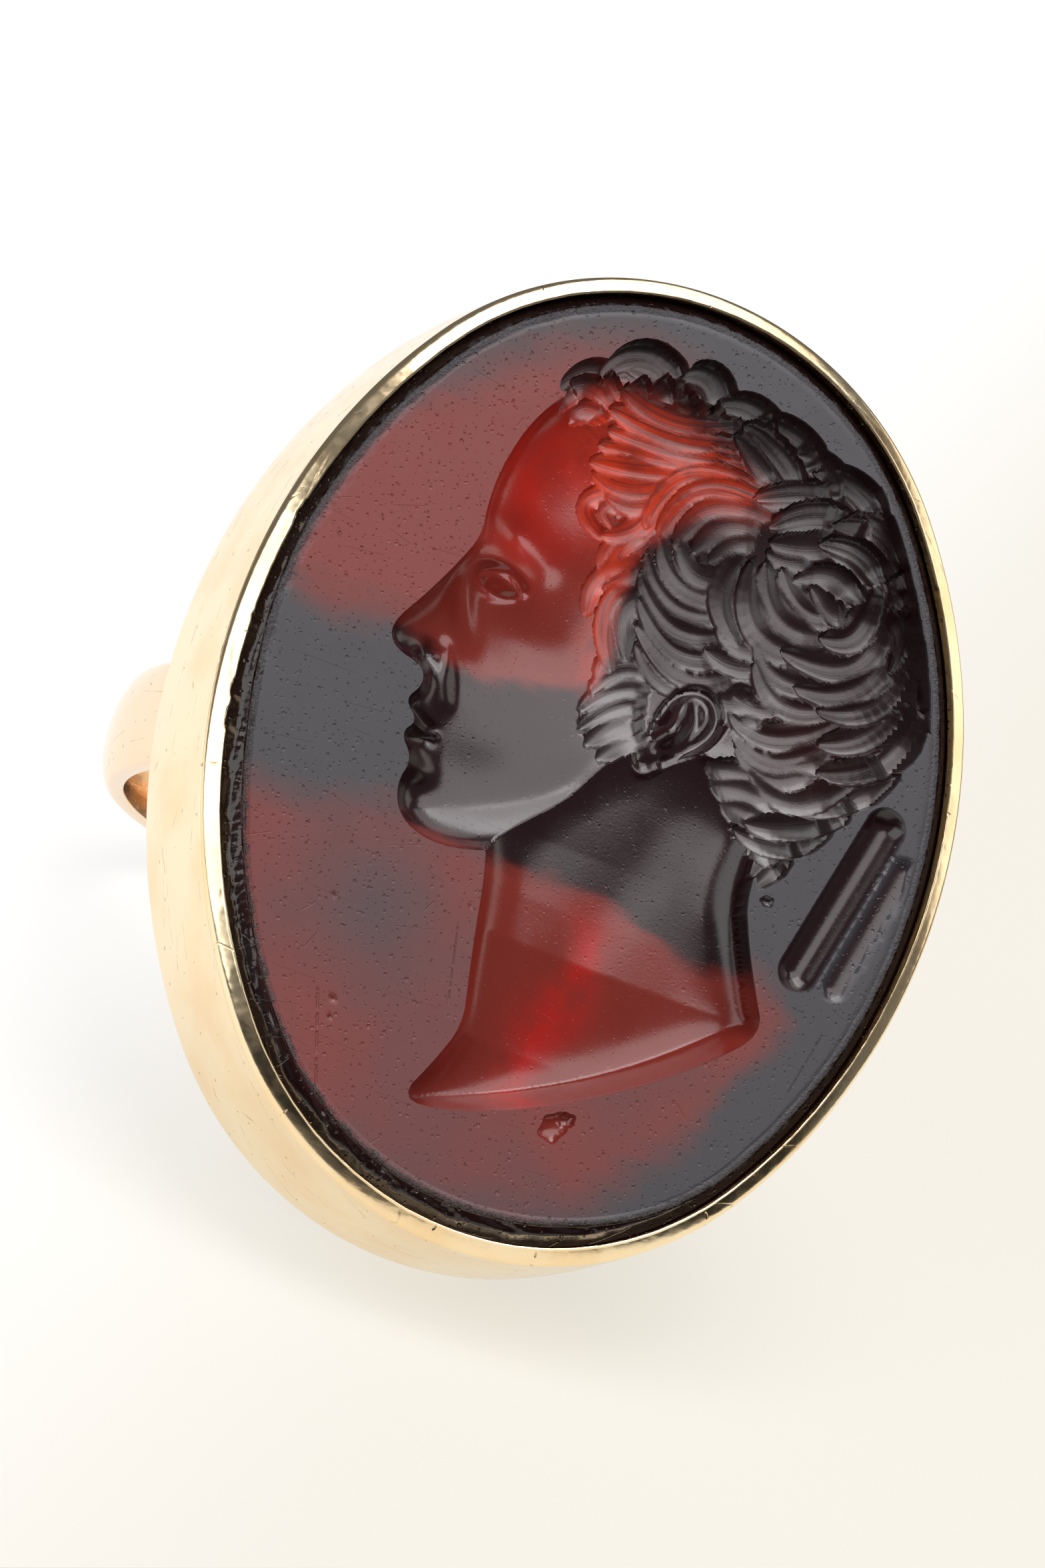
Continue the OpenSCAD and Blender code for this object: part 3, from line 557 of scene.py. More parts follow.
        for height, centre, radius, start, end, width in lids:
            vx, vy = x - centre[0], y - centre[1]
            turn = np.abs(wrap(np.degrees(np.arctan2(vy, vx)) - (start + end) / 2))
            past = np.maximum(turn - (end - start) / 2, 0)
            total += height * bell(np.hypot(np.hypot(vx, vy) - radius, np.radians(past) * radius), width)
        return total

    def head_base(self, x: Array, y: Array) -> Array:
        """The head's plain cushion, on which its features, hair and ear are laid."""
        return self.cushion(self.face_edge, x, y, self.head_rise, self.head_round)

    def head_depth(self, x: Array, y: Array) -> Array:
        """Depth of the head without its hair."""
        base = self.head_base(x, y)
        planes = self.face_planes(x, y) * clamp01(base / 0.6)
        return np.where(base > 0, np.maximum(base + planes, 0.02), 0.0)

    def neck_depth(self, x: Array, y: Array) -> Array:
        """Depth of the neck, with the plane where it is cut off.

        Args:
            x: Places across.
            y: Places along.

        Returns:
            The depth at each place.
        """
        from_cut = line_distance(self.cut_edge, x, y)
        behind = np.maximum(x - np.interp(y, *np.array(self.neck_front).T), 0)
        body = self.neck_rise * dome(soft_distance(self.neck_edge, x, y), self.neck_round)
        body += self.neck_swell * (1 - np.exp(-behind / self.neck_reach))
        body += 0.05 * bell(run_distance((3.4, 0.0), (0.4, -7.6), x, y), 0.9) + 0.12 * np.maximum(-5.2 - y, 0)
        body = np.minimum(body, 0.08 + 2.8 * from_cut)
        return np.where(inside(self.neck_edge, x, y), np.maximum(body, 0), 0.0)

    def hair_floor(self, x: Array, y: Array) -> Array:
        """Depth of the hair's floor, a field of soft clumps on which the tresses lie."""
        cap = self.hair_rise * self.swell(self.hair_edge, x, y, self.hair_round, 0.35)
        clumps = 0.1 * (1 + sind(105 * x + 40 * y + 30) * sind(110 * y - 35 * x + 60))
        return np.maximum(np.maximum(cap, self.head_base(x, y)), self.hair_least) + clumps

    def hair_layers(self, x: Array, y: Array) -> tuple[Array, Array, Array]:
        """Lays all the tresses.

        Args:
            x: Places across.
            y: Places along.

        Returns:
            The depth at each place, how far across its tress the place is, and how full the tress is there.
        """
        depth = self.hair_rise * self.swell(self.hair_edge, x, y, self.hair_round, 0.1) - 0.12
        across, full = np.zeros(x.shape), np.zeros(x.shape)
        for tress in self.tresses:
            near = tress.near(x, y)
            if not near.any():
                continue
            ground = self.hair_floor(*tress.line().T)
            deep, off, body = tress.lay(x[near], y[near], ground)
            over = deep > depth[near]
            depth[near] = np.where(over, deep, depth[near])
            across[near] = np.where(over, off, across[near])
            full[near] = np.where(over, body, full[near])
        return depth, across, full

    def ear_depth(self, x: Array, y: Array) -> tuple[Array, Array]:
        """Depth of the ear, drawn in its own leaning axes.

        Args:
            x: Places across.
            y: Places along.

        Returns:
            The depth and how much of it counts, from 0 outside to 1 inside.
        """
        dx, dy = x - self.ear_at[0], y - self.ear_at[1]
        u = (dx * cosd(self.ear_lean) - dy * sind(self.ear_lean)) / self.ear_size
        v = (dx * sind(self.ear_lean) + dy * cosd(self.ear_lean)) / self.ear_size
        ridges = 0.3 * bell(line_distance(self.helix_line, u, v), 0.19)
        ridges += 0.2 * bell(line_distance(self.fold_line, u, v), 0.2)
        mounds = 0.22 * blob(u, v, (-0.5, -0.25), (0.2, 0.28), 0)
        mounds += 0.28 * blob(u, v, (-0.2, -1.15), (0.36, 0.34), 0)
        bowl = 0.34 * blob(u, v, (-0.1, -0.1), (0.36, 0.5), 0)
        counts = clamp01(soft_distance(self.ear_edge, u, v) / self.ear_soft)
        base = np.maximum(self.head_base(x, y), self.ear_floor) + self.ear_rise
        return base + ridges + mounds - bowl, np.where(inside(self.ear_edge, u, v), counts, 0.0)

    def depth(self, x: Array, y: Array) -> Array:
        """Depth of the whole bust.

        Args:
            x: Places across.
            y: Places along.

        Returns:
            The depth below the field at each place, 0 beside the bust.
        """
        hair, _, _ = self.hair_layers(x, y)
        body = np.maximum.reduce([self.head_depth(x, y), self.neck_depth(x, y), hair])
        ear, counts = self.ear_depth(x, y)
        return RELIEF * (body * (1 - counts) + ear * counts)

    def glow(self, x: Array, y: Array) -> Array:
        """Where the glass is painted bright, as light coming through the hair in front and the throat, from 0
        to 1.

        Args:
            x: Places across.
            y: Places along.

        Returns:
            The glow at each place.
        """
        edge = rounded(self.lit_hair, 2)
        far = soft_distance(edge, x, y)
        hair = np.where(inside(edge, x, y), 0.5 + far, 0.5 - far)
        stripe = line_distance(rounded(self.lit_throat, 2, closed=False), x, y)
        throat = bell(stripe, 0.7 + 0.2 * np.sin(1.6 * y)) * clamp01((-3.2 - y) / 1.4)
        return np.maximum(clamp01(hair), throat)

    def strands(self, x: Array, y: Array) -> tuple[Array, Array]:
        """Where hair shows: how far across its tress a place is and how full the tress is, 0 off the hair."""
        hair, across, full = self.hair_layers(x, y)
        bare = np.maximum(self.head_depth(x, y), self.neck_depth(x, y))
        _, counts = self.ear_depth(x, y)
        return across, np.where((hair > bare) & (counts < 0.5), full, 0.0)


@dataclass(frozen=True)
class Trough:
    """A round-ended groove behind the nape."""

    start: Point
    end: Point
    half_width: float
    deep: float

    def depth(self, x: Array, y: Array) -> Array:
        """Depth at each place, 0 beside the groove."""
        off = np.clip(run_distance(self.start, self.end, x, y) / self.half_width, 0, 1)
        return self.deep * (1 - off * off)


@dataclass
class Stone:
    """The oval glass stone: flat field, bevel, the sunk bust and two troughs."""

    oval: Oval
    bust: Bust
    columns: int = 262
    rows: int = 328
    bevel: float = 0.62
    drop: float = 0.05
    bevel_fall: float = 0.51
    girdle: float = 0.16
    deep: float = 4.15
    least_cut: float = 0.02
    chip_seed: int = 11
    chip_stride: int = 7
    chip_bite: float = 0.16
    chip_drop: float = 0.02
    troughs: tuple[Trough, ...] = (
        Trough((7.4, -3.5), (8.75, 1.15), 0.66, 0.44), Trough((8.55, -3.6), (9.6, 0.2), 0.46, 0.14))
    dents: tuple[tuple[float, float, float, float], ...] = (
        (1.75, -9.95, 0.42, 0.2), (2.05, -9.65, 0.26, 0.24), (5.95, -1.95, 0.2, 0.12),
        (-5.3, -8.6, 0.14, 0.05), (-5.25, -9.1, 0.1, 0.04), (-6.1, -5.9, 0.12, 0.04), (-2.3, -4.9, 0.1, 0.04))

    def depth(self, x: Array, y: Array) -> Array:
        """Depth of everything cut into the field.

        Args:
            x: Places across.
            y: Places along.

        Returns:
            The depth at each place, 0 on the bare field.
        """
        cuts = [self.bust.depth(x, y)] + [RELIEF * trough.depth(x, y) for trough in self.troughs]
        for cx, cy, radius, deep in self.dents:
            turn = np.arctan2(y - cy, x - cx)
            uneven = 1 + 0.12 * np.sin(2 * turn + 5 * cx) + 0.1 * np.sin(5 * turn + 9 * cy)
            far = np.hypot(x - cx, y - cy) / radius * uneven
            cuts.append(deep * np.sqrt(np.clip(1 - far * far, 0, None)))
        return np.maximum.reduce(cuts)

    def lines(self, count: int, start: float, end: float, share: float) -> Array:
        """Grid lines from -1 to 1, bunched between two places.

        Args:
            count: How many steps.
            start: Where the bunched stretch starts.
            end: Where it ends.
            share: The share of the steps that it takes.

        Returns:
            The places of the lines.
        """
        core = int(count * share)
        low = int((count - core) * (start + 1) / (2 - end + start))
        return np.concatenate([
            np.linspace(-1, start, low, endpoint=False), np.linspace(start, end, core, endpoint=False),
            np.linspace(end, 1, count - core - low + 1)])

    def crossings(self, x: Array, y: Array, sunk: Array, axis: int) -> tuple[Array, Array]:
        """Finds where the edge of a cut crosses the grid lines of one direction, by halving.

        Args:
            x: Places of the grid's points across.
            y: Their places along.
            sunk: Their depths.
            axis: 0 for the lines from row to row, 1 for those from column to column.

        Returns:
            Row and column of the grid point nearest to each crossing, and the crossing's place.
        """
        before = np.s_[1:-2, 1:-1] if axis == 0 else np.s_[1:-1, 1:-2]
        after = np.s_[2:-1, 1:-1] if axis == 0 else np.s_[1:-1, 2:-1]
        first = np.argwhere((sunk[before] > 0) != (sunk[after] > 0)).T + 1
        second = first + np.array([[axis == 0], [axis == 1]])
        start, end = (np.stack([x[row, col], y[row, col]]) for row, col in (first, second))
        deep_first = sunk[first[0], first[1]] > 0
        low, high = np.where(deep_first, 1.0, 0.0), np.where(deep_first, 0.0, 1.0)
        for _ in range(6):
            middle = (low + high) / 2
            cut = self.depth(*(start + (end - start) * middle)) > self.least_cut
            low, high = np.where(cut, low, middle), np.where(cut, middle, high)
        share = (low + high) / 2
        place, near = start + (end - start) * share, share < 0.5
        return (np.concatenate([first[:, near], second[:, ~near]], 1),
                np.concatenate([place[:, near], place[:, ~near]], 1))

    def grid(self) -> tuple[Array, Array]:
        """The square grid pressed into the oval, its points next to a cut's edge moved onto it.

        Returns:
            The points across and along, and their depths, by row and column.
        """
        across, along = self.lines(self.columns, -0.7, 0.9, 0.9), self.lines(self.rows, -0.86, 0.95, 0.94)
        u, v = np.meshgrid(across, along)
        qx, qy = u * np.sqrt(1 - v * v / 2), v * np.sqrt(1 - u * u / 2)
        angle = np.degrees(np.arctan2(qy * self.oval.half_length, qx * self.oval.half_width))
        reach = np.hypot(qx, qy) * self.oval.radius(angle, -self.bevel)
        x, y = reach * cosd(angle), reach * sind(angle)
        sunk = self.depth(x, y)
        for edge in (np.s_[0, :], np.s_[-1, :], np.s_[:, 0], np.s_[:, -1]):
            sunk[edge] = 0
        total, weight = np.zeros((2, *x.shape)), np.zeros(x.shape)
        for axis in (0, 1):
            (rows, cols), place = self.crossings(x, y, sunk, axis)
            np.add.at(total, (slice(None), rows, cols), place)
            np.add.at(weight, (rows, cols), 1)
        moved = weight > 0
        x[moved], y[moved] = total[:, moved] / weight[moved]
        sunk[moved] = 0
        return np.stack([x, y], -1), sunk

    def rim_numbers(self) -> Array:
        """Numbers of the grid's outermost points, in order round the stone."""
        rows, cols = self.rows + 1, self.columns + 1
        return np.concatenate([
            np.arange(cols - 1), np.arange(rows - 1) * cols + cols - 1,
            (rows - 1) * cols + np.arange(cols - 1, 0, -1), np.arange(rows - 1, 0, -1) * cols])

    def chips(self, angle: Array) -> Array:
        """How badly the field's edge is chipped: most on the left and at the lower left.

        Args:
            angle: Directions from the middle, in degrees.

        Returns:
            The chips' size from 0 to 1 at each point.
        """
        draw = np.random.default_rng(self.chip_seed)
        sharp = draw.random(angle.size)
        stops = np.arange(0, angle.size + self.chip_stride, self.chip_stride)
        slow = np.interp(np.arange(angle.size), stops, draw.random(stops.size))
        reach = 0.25 + 0.75 * clamp01(1.6 - np.abs(wrap(angle - 205)) / 70)
        return reach * np.clip(0.5 * sharp + 1.1 * slow - 0.45, 0, 1)

    def rings(self) -> list[tuple[float, float, float]]:
        """The rings under the field as (offset, height, roughness): bevel, side and back."""
        slope = self.bevel_fall / (self.girdle + self.bevel)
        fall = -self.drop - slope * self.bevel
        chipped = ((0.06, 0.02, 0.05), (0.13, 0.04, 0.07), (0.2, 0.06, 0.06), (0.28, 0.09, 0.04))
        return [(-self.bevel + out, -self.drop - down, rough) for out, down, rough in chipped] + [
            (-0.3, -self.drop - 0.13, 0.01), (-0.15, 0.5 * (fall - self.drop - 0.13), 0.0), (0.0, fall, 0.0),
            (self.girdle, -self.drop - self.bevel_fall, 0.0), (self.girdle, -self.deep + 0.5, 0.0),
            (-0.5, -self.deep, 0.0)]

    def field_faces(self, z: Array) -> list[list[int]]:
        """Triangles of the field, each square split along its flatter diagonal.

        Args:
            z: Heights of the grid's points.

        Returns:
            The corner numbers of each triangle.
        """
        cols = self.columns + 1
        p = (np.arange(self.rows)[:, None] * cols + np.arange(self.columns)).ravel()
        q, r, s = p + 1, p + cols, p + cols + 1
        slant = np.abs(z[p] - z[s]) < np.abs(z[q] - z[r])
        return np.concatenate([
            np.stack([p, q, s], 1)[slant], np.stack([p, s, r], 1)[slant],
            np.stack([p, q, r], 1)[~slant], np.stack([q, s, r], 1)[~slant]]).tolist()

    def build(self, lie: Lie) -> bpy.types.Object:
        """Makes the stone's mesh.

        Args:
            lie: How the ring lies on the table.

        Returns:
            The stone, with the numbers that its finish reads kept for its points.
        """
        flat, sunk = self.grid()
        top = np.concatenate([flat, -self.drop - sunk[..., None]], -1).reshape(-1, 3)
        rim = self.rim_numbers()
        angle = np.degrees(np.arctan2(top[rim, 1], top[rim, 0]))
        chip = self.chips(angle)
        inward = self.oval.radius(angle, -self.bevel - self.chip_bite * chip)
        top[rim, 0], top[rim, 1] = inward * cosd(angle), inward * sind(angle)
        top[rim, 2] -= self.chip_drop * chip
        x, y, z = top.T
        parts = [top]
        offsets = [np.hypot(x, y) - self.oval.radius(np.degrees(np.arctan2(y, x)), 0.0)]
        rings = self.rings()
        for number, (offset, height, rough) in enumerate(rings):
            bite = np.roll(chip, 5 * number + 3)
            reach = self.oval.radius(angle, offset - 0.5 * rough * bite)
            parts.append(np.stack([reach * cosd(angle), reach * sind(angle), height - rough * bite], 1))
            offsets.append(np.full(angle.size, offset))
        faces = self.field_faces(z)
        loops = [rim] + [len(top) + number * rim.size + np.arange(rim.size) for number in range(len(rings))]
        for upper, lower in zip(loops, loops[1:]):
            faces += np.stack([upper, lower, np.roll(lower, -1), np.roll(upper, -1)], 1).tolist()
        faces.append(loops[-1][::-1].tolist())
        piece = mesh_object("cut_stone", lie.points(np.concatenate(parts)), faces, 38)
        across, full = self.bust.strands(x, y)
        given = {"sunk": sunk.ravel(), "across": across, "hair": full, "glow": self.bust.glow(x, y)}
        for name, values in given.items():
            keep_values(piece, name, np.concatenate([values, np.zeros(rim.size * len(rings))]))
        keep_values(piece, "rim", -np.concatenate(offsets))
        return piece


@dataclass(frozen=True)
class Nick:
    """A small bite out of the lip's inner edge."""

    place: Point
    length: float
    deep: float


@dataclass
class Setting:
    """The gold box setting: a burnished lip over the stone, a thin seam, and a swelling wall."""

    oval: Oval
    around: int = 960
    lip_width: float = 0.47
    lip_fall: float = 0.29
    swell: float = 0.12
    height: float = 5.25
    foot: float = 0.5
    floor: float = -4.2
    pocket: float = 0.21
    under_lip: float = -0.395
    pocket_top: float = -0.532
    worn_width: float = 0.1
    worn_height: float = -0.2
    nicks: tuple[Nick, ...] = (
        Nick((-10.31, -1.46), 0.3, 0.07), Nick((-10.21, -2.3), 0.35, 0.08), Nick((-10.03, 3.81), 0.4, 0.06),
        Nick((-10.5, 0.6), 0.12, 0.03), Nick((-9.2, -6.2), 0.1, 0.025), Nick((10.4, 1.5), 0.12, 0.02),
        Nick((-6.2, -11.3), 0.1, 0.02), Nick((8.4, 8.2), 0.12, 0.02))

    def section(self) -> list[Point]:
        """The setting's outer section from its underside to the pocket's floor, as (offset, height)."""
        wide, fall, corner = self.lip_width, self.lip_fall, self.foot
        foot = [(wide + 0.04 + self.swell - corner * (1 - cosd(w)), -self.height + corner * (1 - sind(w)))
                for w in np.arange(90, -1, -10)]
        wall = [(wide + 0.02 + (self.swell + 0.02) * sind(100 * k) / sind(100),
                 -fall - 0.07 - (self.height - corner - fall - 0.07) * k)
                for k in np.linspace(1, 0, 20)[1:]]
        seam = [(wide + 0.008, -fall - 0.062), (wide - 0.001, -fall - 0.045),
                (wide - 0.001, -fall - 0.03), (wide, -fall - 0.014)]
        lip = [(wide * k, -fall * (0.8 * k**1.1 + 0.2 * k**11))
               for k in (1, 0.97, 0.93, 0.88, 0.82, 0.74, 0.62, 0.48, 0.34, 0.22, 0.14)]
        edge = [(0.04, -0.004), (0.02, -0.012), (0.006, -0.035), (0.0, -0.08), (0.0, -0.22)]
        inner = [(0.0, self.under_lip), (self.pocket, self.pocket_top), (self.pocket, self.floor)]
        return foot + wall + seam + lip + edge + inner

    def wear(self, x: Array, y: Array) -> Array:
        """How far the lip's inner edge is worn back.

        Args:
            x: Places across, round the lip.
            y: Places along.

        Returns:
            The distance at each place.
        """
        run = np.arange(x.size) / x.size * math.tau
        slow = np.sin(37 * run + 1) * np.sin(13 * run)
        back = np.clip(0.006 * (slow + 0.6 * np.sin(91 * run + 2) + 0.4 * np.sin(211 * run)), -0.002, None)
        for nick in self.nicks:
            far = np.hypot(x - nick.place[0], y - nick.place[1]) / nick.length
            back += nick.deep * np.sqrt(np.clip(1 - far * far, 0, None)) * (1 + 0.3 * np.sin(170 * run))
        return back

    def build(self, lie: Lie) -> bpy.types.Object:
        """Makes the setting's mesh as a closed body.

        Args:
            lie: How the ring lies on the table.

        Returns:
            The setting.
        """
        edge, normal = self.oval.ring(self.around)
        n, back = self.around, self.wear(edge[:, 0], edge[:, 1])
        under = self.lip_width + 0.04 + self.swell - self.foot
        parts = [np.array([[0, 0, -self.height]])]
        for share in (0.25, 0.5, 0.75):
            parts.append(np.column_stack([share * (edge + normal * under), np.full(n, -self.height)]))
        for offset, height in self.section():
            at_edge = offset < self.worn_width and height > self.worn_height
            worn = back * clamp01(1 - offset / self.worn_width) if at_edge else 0 * back
            parts.append(np.column_stack([edge + normal * (offset + worn)[:, None], np.full(n, height)]))
        last = 1 + (len(parts) - 2) * n
        parts.append(np.array([[0, 0, self.floor]]))
        i = np.arange(n)
        j = (i + 1) % n
        faces = np.stack([np.zeros(n, int), 1 + j, 1 + i], 1).tolist()
        for low in range(1, last, n):
            faces += band_faces(low, low + n, n)
        faces += np.stack([last + i, last + j, np.full(n, last + n)], 1).tolist()
        return mesh_object("box_setting", lie.points(np.concatenate(parts)), faces, 30)


@dataclass
class Hoop:
    """The round finger hoop: a D-shaped band, flat on the inside."""

    radius: float = 8.8
    width: float = 3.2
    crest: float = 0.948
    rim: float = 0.4
    around: int = 360

    def section(self) -> list[Point]:
        """The band's section as (radius, place along the finger)."""
        half = self.width / 2
        inner = [(self.radius, -half + 0.08), (self.radius + 0.025, -half + 0.025),
                 (self.radius + 0.08, -half)]
        base, rise = self.radius + self.rim, self.crest - self.rim
        outer = [(base + rise * math.sqrt(1 - (sind(t) ** 2) * 0.999), half * sind(t))
                 for t in np.linspace(-90, 90, 33)]
        return inner + outer + [(r, -w) for r, w in reversed(inner)]

    def build(self, lie: Lie) -> bpy.types.Object:
        """Makes the hoop's mesh.

        Args:
            lie: How the ring lies on the table.

        Returns:
            The hoop.
        """
        section, n = self.section(), self.around
        turn = np.arange(n) / n * 360
        points = np.concatenate([
            np.stack([r * sind(turn), np.full(n, w), HOOP_CENTRE + r * cosd(turn)], 1) for r, w in section])
        faces = []
        for number in range(len(section)):
            faces += band_faces(number * n, (number + 1) % len(section) * n, n)
        return mesh_object("finger_hoop", lie.points(points), faces, 30)


class Value:
    """An output of a shader node, on which ordinary arithmetic draws more nodes."""

    def __init__(self, graph: Graph, socket: bpy.types.NodeSocket) -> None:
        """Takes the graph that the output is in, and the output."""
        self.graph, self.socket = graph, socket

    def step(self, operation: str, left: object, right: object) -> Value:
        """One step of arithmetic, on vectors where this output is a vector or a colour."""
        draw = self.graph.math if self.socket.type == "VALUE" else self.graph.vector
        return draw(operation, left, right)

    def __add__(self, other: object) -> Value:
        """The sum."""
        return self.step("ADD", self, other)

    def __sub__(self, other: object) -> Value:
        """The difference."""
        return self.step("SUBTRACT", self, other)

    def __rsub__(self, other: object) -> Value:
        """What is left of a number."""
        return self.step("SUBTRACT", other, self)

    def __mul__(self, other: object) -> Value:
        """The product."""
        return self.step("MULTIPLY", self, other)

    def __truediv__(self, other: object) -> Value:
        """The quotient."""
        return self.step("DIVIDE", self, other)

    def __or__(self, other: object) -> Value:
        """The greater of two masks."""
        return self.step("MAXIMUM", self, other)


class Graph:
    """Short calls for drawing a shader node tree."""

    def __init__(self, tree: bpy.types.NodeTree) -> None:
        """Takes the tree to draw in."""
        self.tree = tree

    def node(self, kind: str, inputs: dict | None = None, **settings: object) -> bpy.types.Node:
        """Adds a node.

        Args:
            kind: The node's type.
            inputs: What goes into it, by input name or number.
            settings: The node's own properties.

        Returns:
            The new node.
        """
        made = self.tree.nodes.new(kind)
        for name, value in settings.items():
            setattr(made, name, value)
        for name, value in (inputs or {}).items():
            self.feed(made.inputs[name], value)
        return made

    def feed(self, socket: bpy.types.NodeSocket, value: object) -> None:
        """Links a socket or sets its value, where three numbers make an opaque colour."""
        if isinstance(value, Value):
            self.tree.links.new(value.socket, socket)
        elif socket.type == "RGBA":
            socket.default_value = (*value, 1.0)
        else:
            socket.default_value = value

    def out(self, kind: str, inputs: dict, pick: int | str = 0, **settings: object) -> Value:
        """Adds a node and takes one of its outputs."""
        return Value(self, self.node(kind, inputs, **settings).outputs[pick])

    def math(self, operation: str, *values: object) -> Value:
        """One step of arithmetic on numbers."""
        return self.out("ShaderNodeMath", dict(enumerate(values)), operation=operation)

    def vector(self, operation: str, *values: object) -> Value:
        """One step of arithmetic on vectors, which may give a number."""
        pick = "Value" if operation in ("LENGTH", "DISTANCE", "DOT_PRODUCT") else "Vector"
        return self.out("ShaderNodeVectorMath", dict(enumerate(values)), pick, operation=operation)

    def split(self, value: Value) -> list[Value]:
        """The three parts of a vector or a colour."""
        kind = "ShaderNodeSeparateColor" if value.socket.type == "RGBA" else "ShaderNodeSeparateXYZ"
        return [Value(self, socket) for socket in self.node(kind, {0: value}).outputs]

    def join(self, x: object, y: object = 0.0) -> Value:
        """A flat vector out of two numbers."""
        return self.out("ShaderNodeCombineXYZ", {0: x, 1: y})

    def fade(self, value: object, start: float, end: float, low: float = 0.0, high: float = 1.0) -> Value:
        """Smooth change from low to high as a value goes from start to end."""
        inputs = dict(enumerate((value, start, end, low, high)))
        return self.out("ShaderNodeMapRange", inputs, interpolation_type="SMOOTHSTEP")

    def mix(self, share: object, low: object, high: object) -> Value:
        """Mixes two colours."""
        return self.out("ShaderNodeMix", {0: share, 6: low, 7: high}, 2, data_type="RGBA")

    def noise(
        self, place: object, scale: float, detail: float = 2.0, rough: float = 0.5, pick: int = 0,
        **settings: object,
    ) -> Value:
        """Soft noise from 0 to 1, or with pick 1 its three noises as a colour."""
        inputs = {"Vector": place, "Scale": scale, "Detail": detail, "Roughness": rough}
        return self.out("ShaderNodeTexNoise", inputs, pick, **settings)

    def cells(self, place: Value, scale: object) -> tuple[Value, Value, list[Value]]:
        """Scattered points: how far the nearest is, where it is, and three chance numbers of its own."""
        made = self.node("ShaderNodeTexVoronoi", {"Vector": place, "Scale": scale}, voronoi_dimensions="2D")
        far, spot, colour = (Value(self, made.outputs[name]) for name in ("Distance", "Position", "Color"))
        return far, spot, self.split(colour)

    def given(self, name: str) -> Value:
        """One of the numbers kept for the points of the piece."""
        return self.out("ShaderNodeAttribute", {}, "Fac", attribute_name=name)

    def curve(self, value: Value, points: Outline) -> Value:
        """A smooth curve through points whose places and heights run from 0 to 1."""
        made = self.node("ShaderNodeFloatCurve", {"Value": value})
        line = made.mapping.curves[0]
        while len(line.points) < len(points):
            line.points.new(0.5, 0.5)
        for point, (x, y) in zip(line.points, points):
            point.location = (x, y)
        made.mapping.update()
        return Value(self, made.outputs[0])

    def bump(self, height: Value, deep: float, under: Value | None = None) -> Value:
        """A bump so many millimetres deep, laid over an earlier one."""
        inputs = {"Height": height, "Distance": deep * MM}
        if under is not None:
            inputs["Normal"] = under
        return self.out("ShaderNodeBump", inputs)


def new_material(name: str) -> tuple[bpy.types.Material, Graph, bpy.types.Node]:
    """Starts a material and gives its graph and its surface shader."""
    material = bpy.data.materials.new(name)
    material.use_nodes = True
    return material, Graph(material.node_tree), material.node_tree.nodes["Principled BSDF"]


def dull_material(name: str, colour: Colour) -> tuple[bpy.types.Material, Graph, bpy.types.Node]:
    """Starts a dull material of one colour."""
    material, graph, surface = new_material(name)
    graph.feed(surface.inputs["Base Color"], colour)
    surface.inputs["Roughness"].default_value = 0.9
    return material, graph, surface


def new_group(
    name: str, inputs: dict[str, str], result: str, kind: str,
) -> tuple[Graph, list[Value], bpy.types.NodeSocket]:
    """Starts a shader node group.

    Args:
        name: The group's name.
        inputs: Socket types by input name.
        result: The output's name.
        kind: The output's socket type.

    Returns:
        The graph to draw in, its inputs, and the socket that takes the result.
    """
    tree = bpy.data.node_groups.new(name, "ShaderNodeTree")
    for label, socket in inputs.items():
        tree.interface.new_socket(name=label, in_out="INPUT", socket_type=f"NodeSocket{socket}")
    tree.interface.new_socket(name=result, in_out="OUTPUT", socket_type=f"NodeSocket{kind}")
    graph = Graph(tree)
    start, end = graph.node("NodeGroupInput"), graph.node("NodeGroupOutput")
    return graph, [Value(graph, start.outputs[label]) for label in inputs], end.inputs[0]


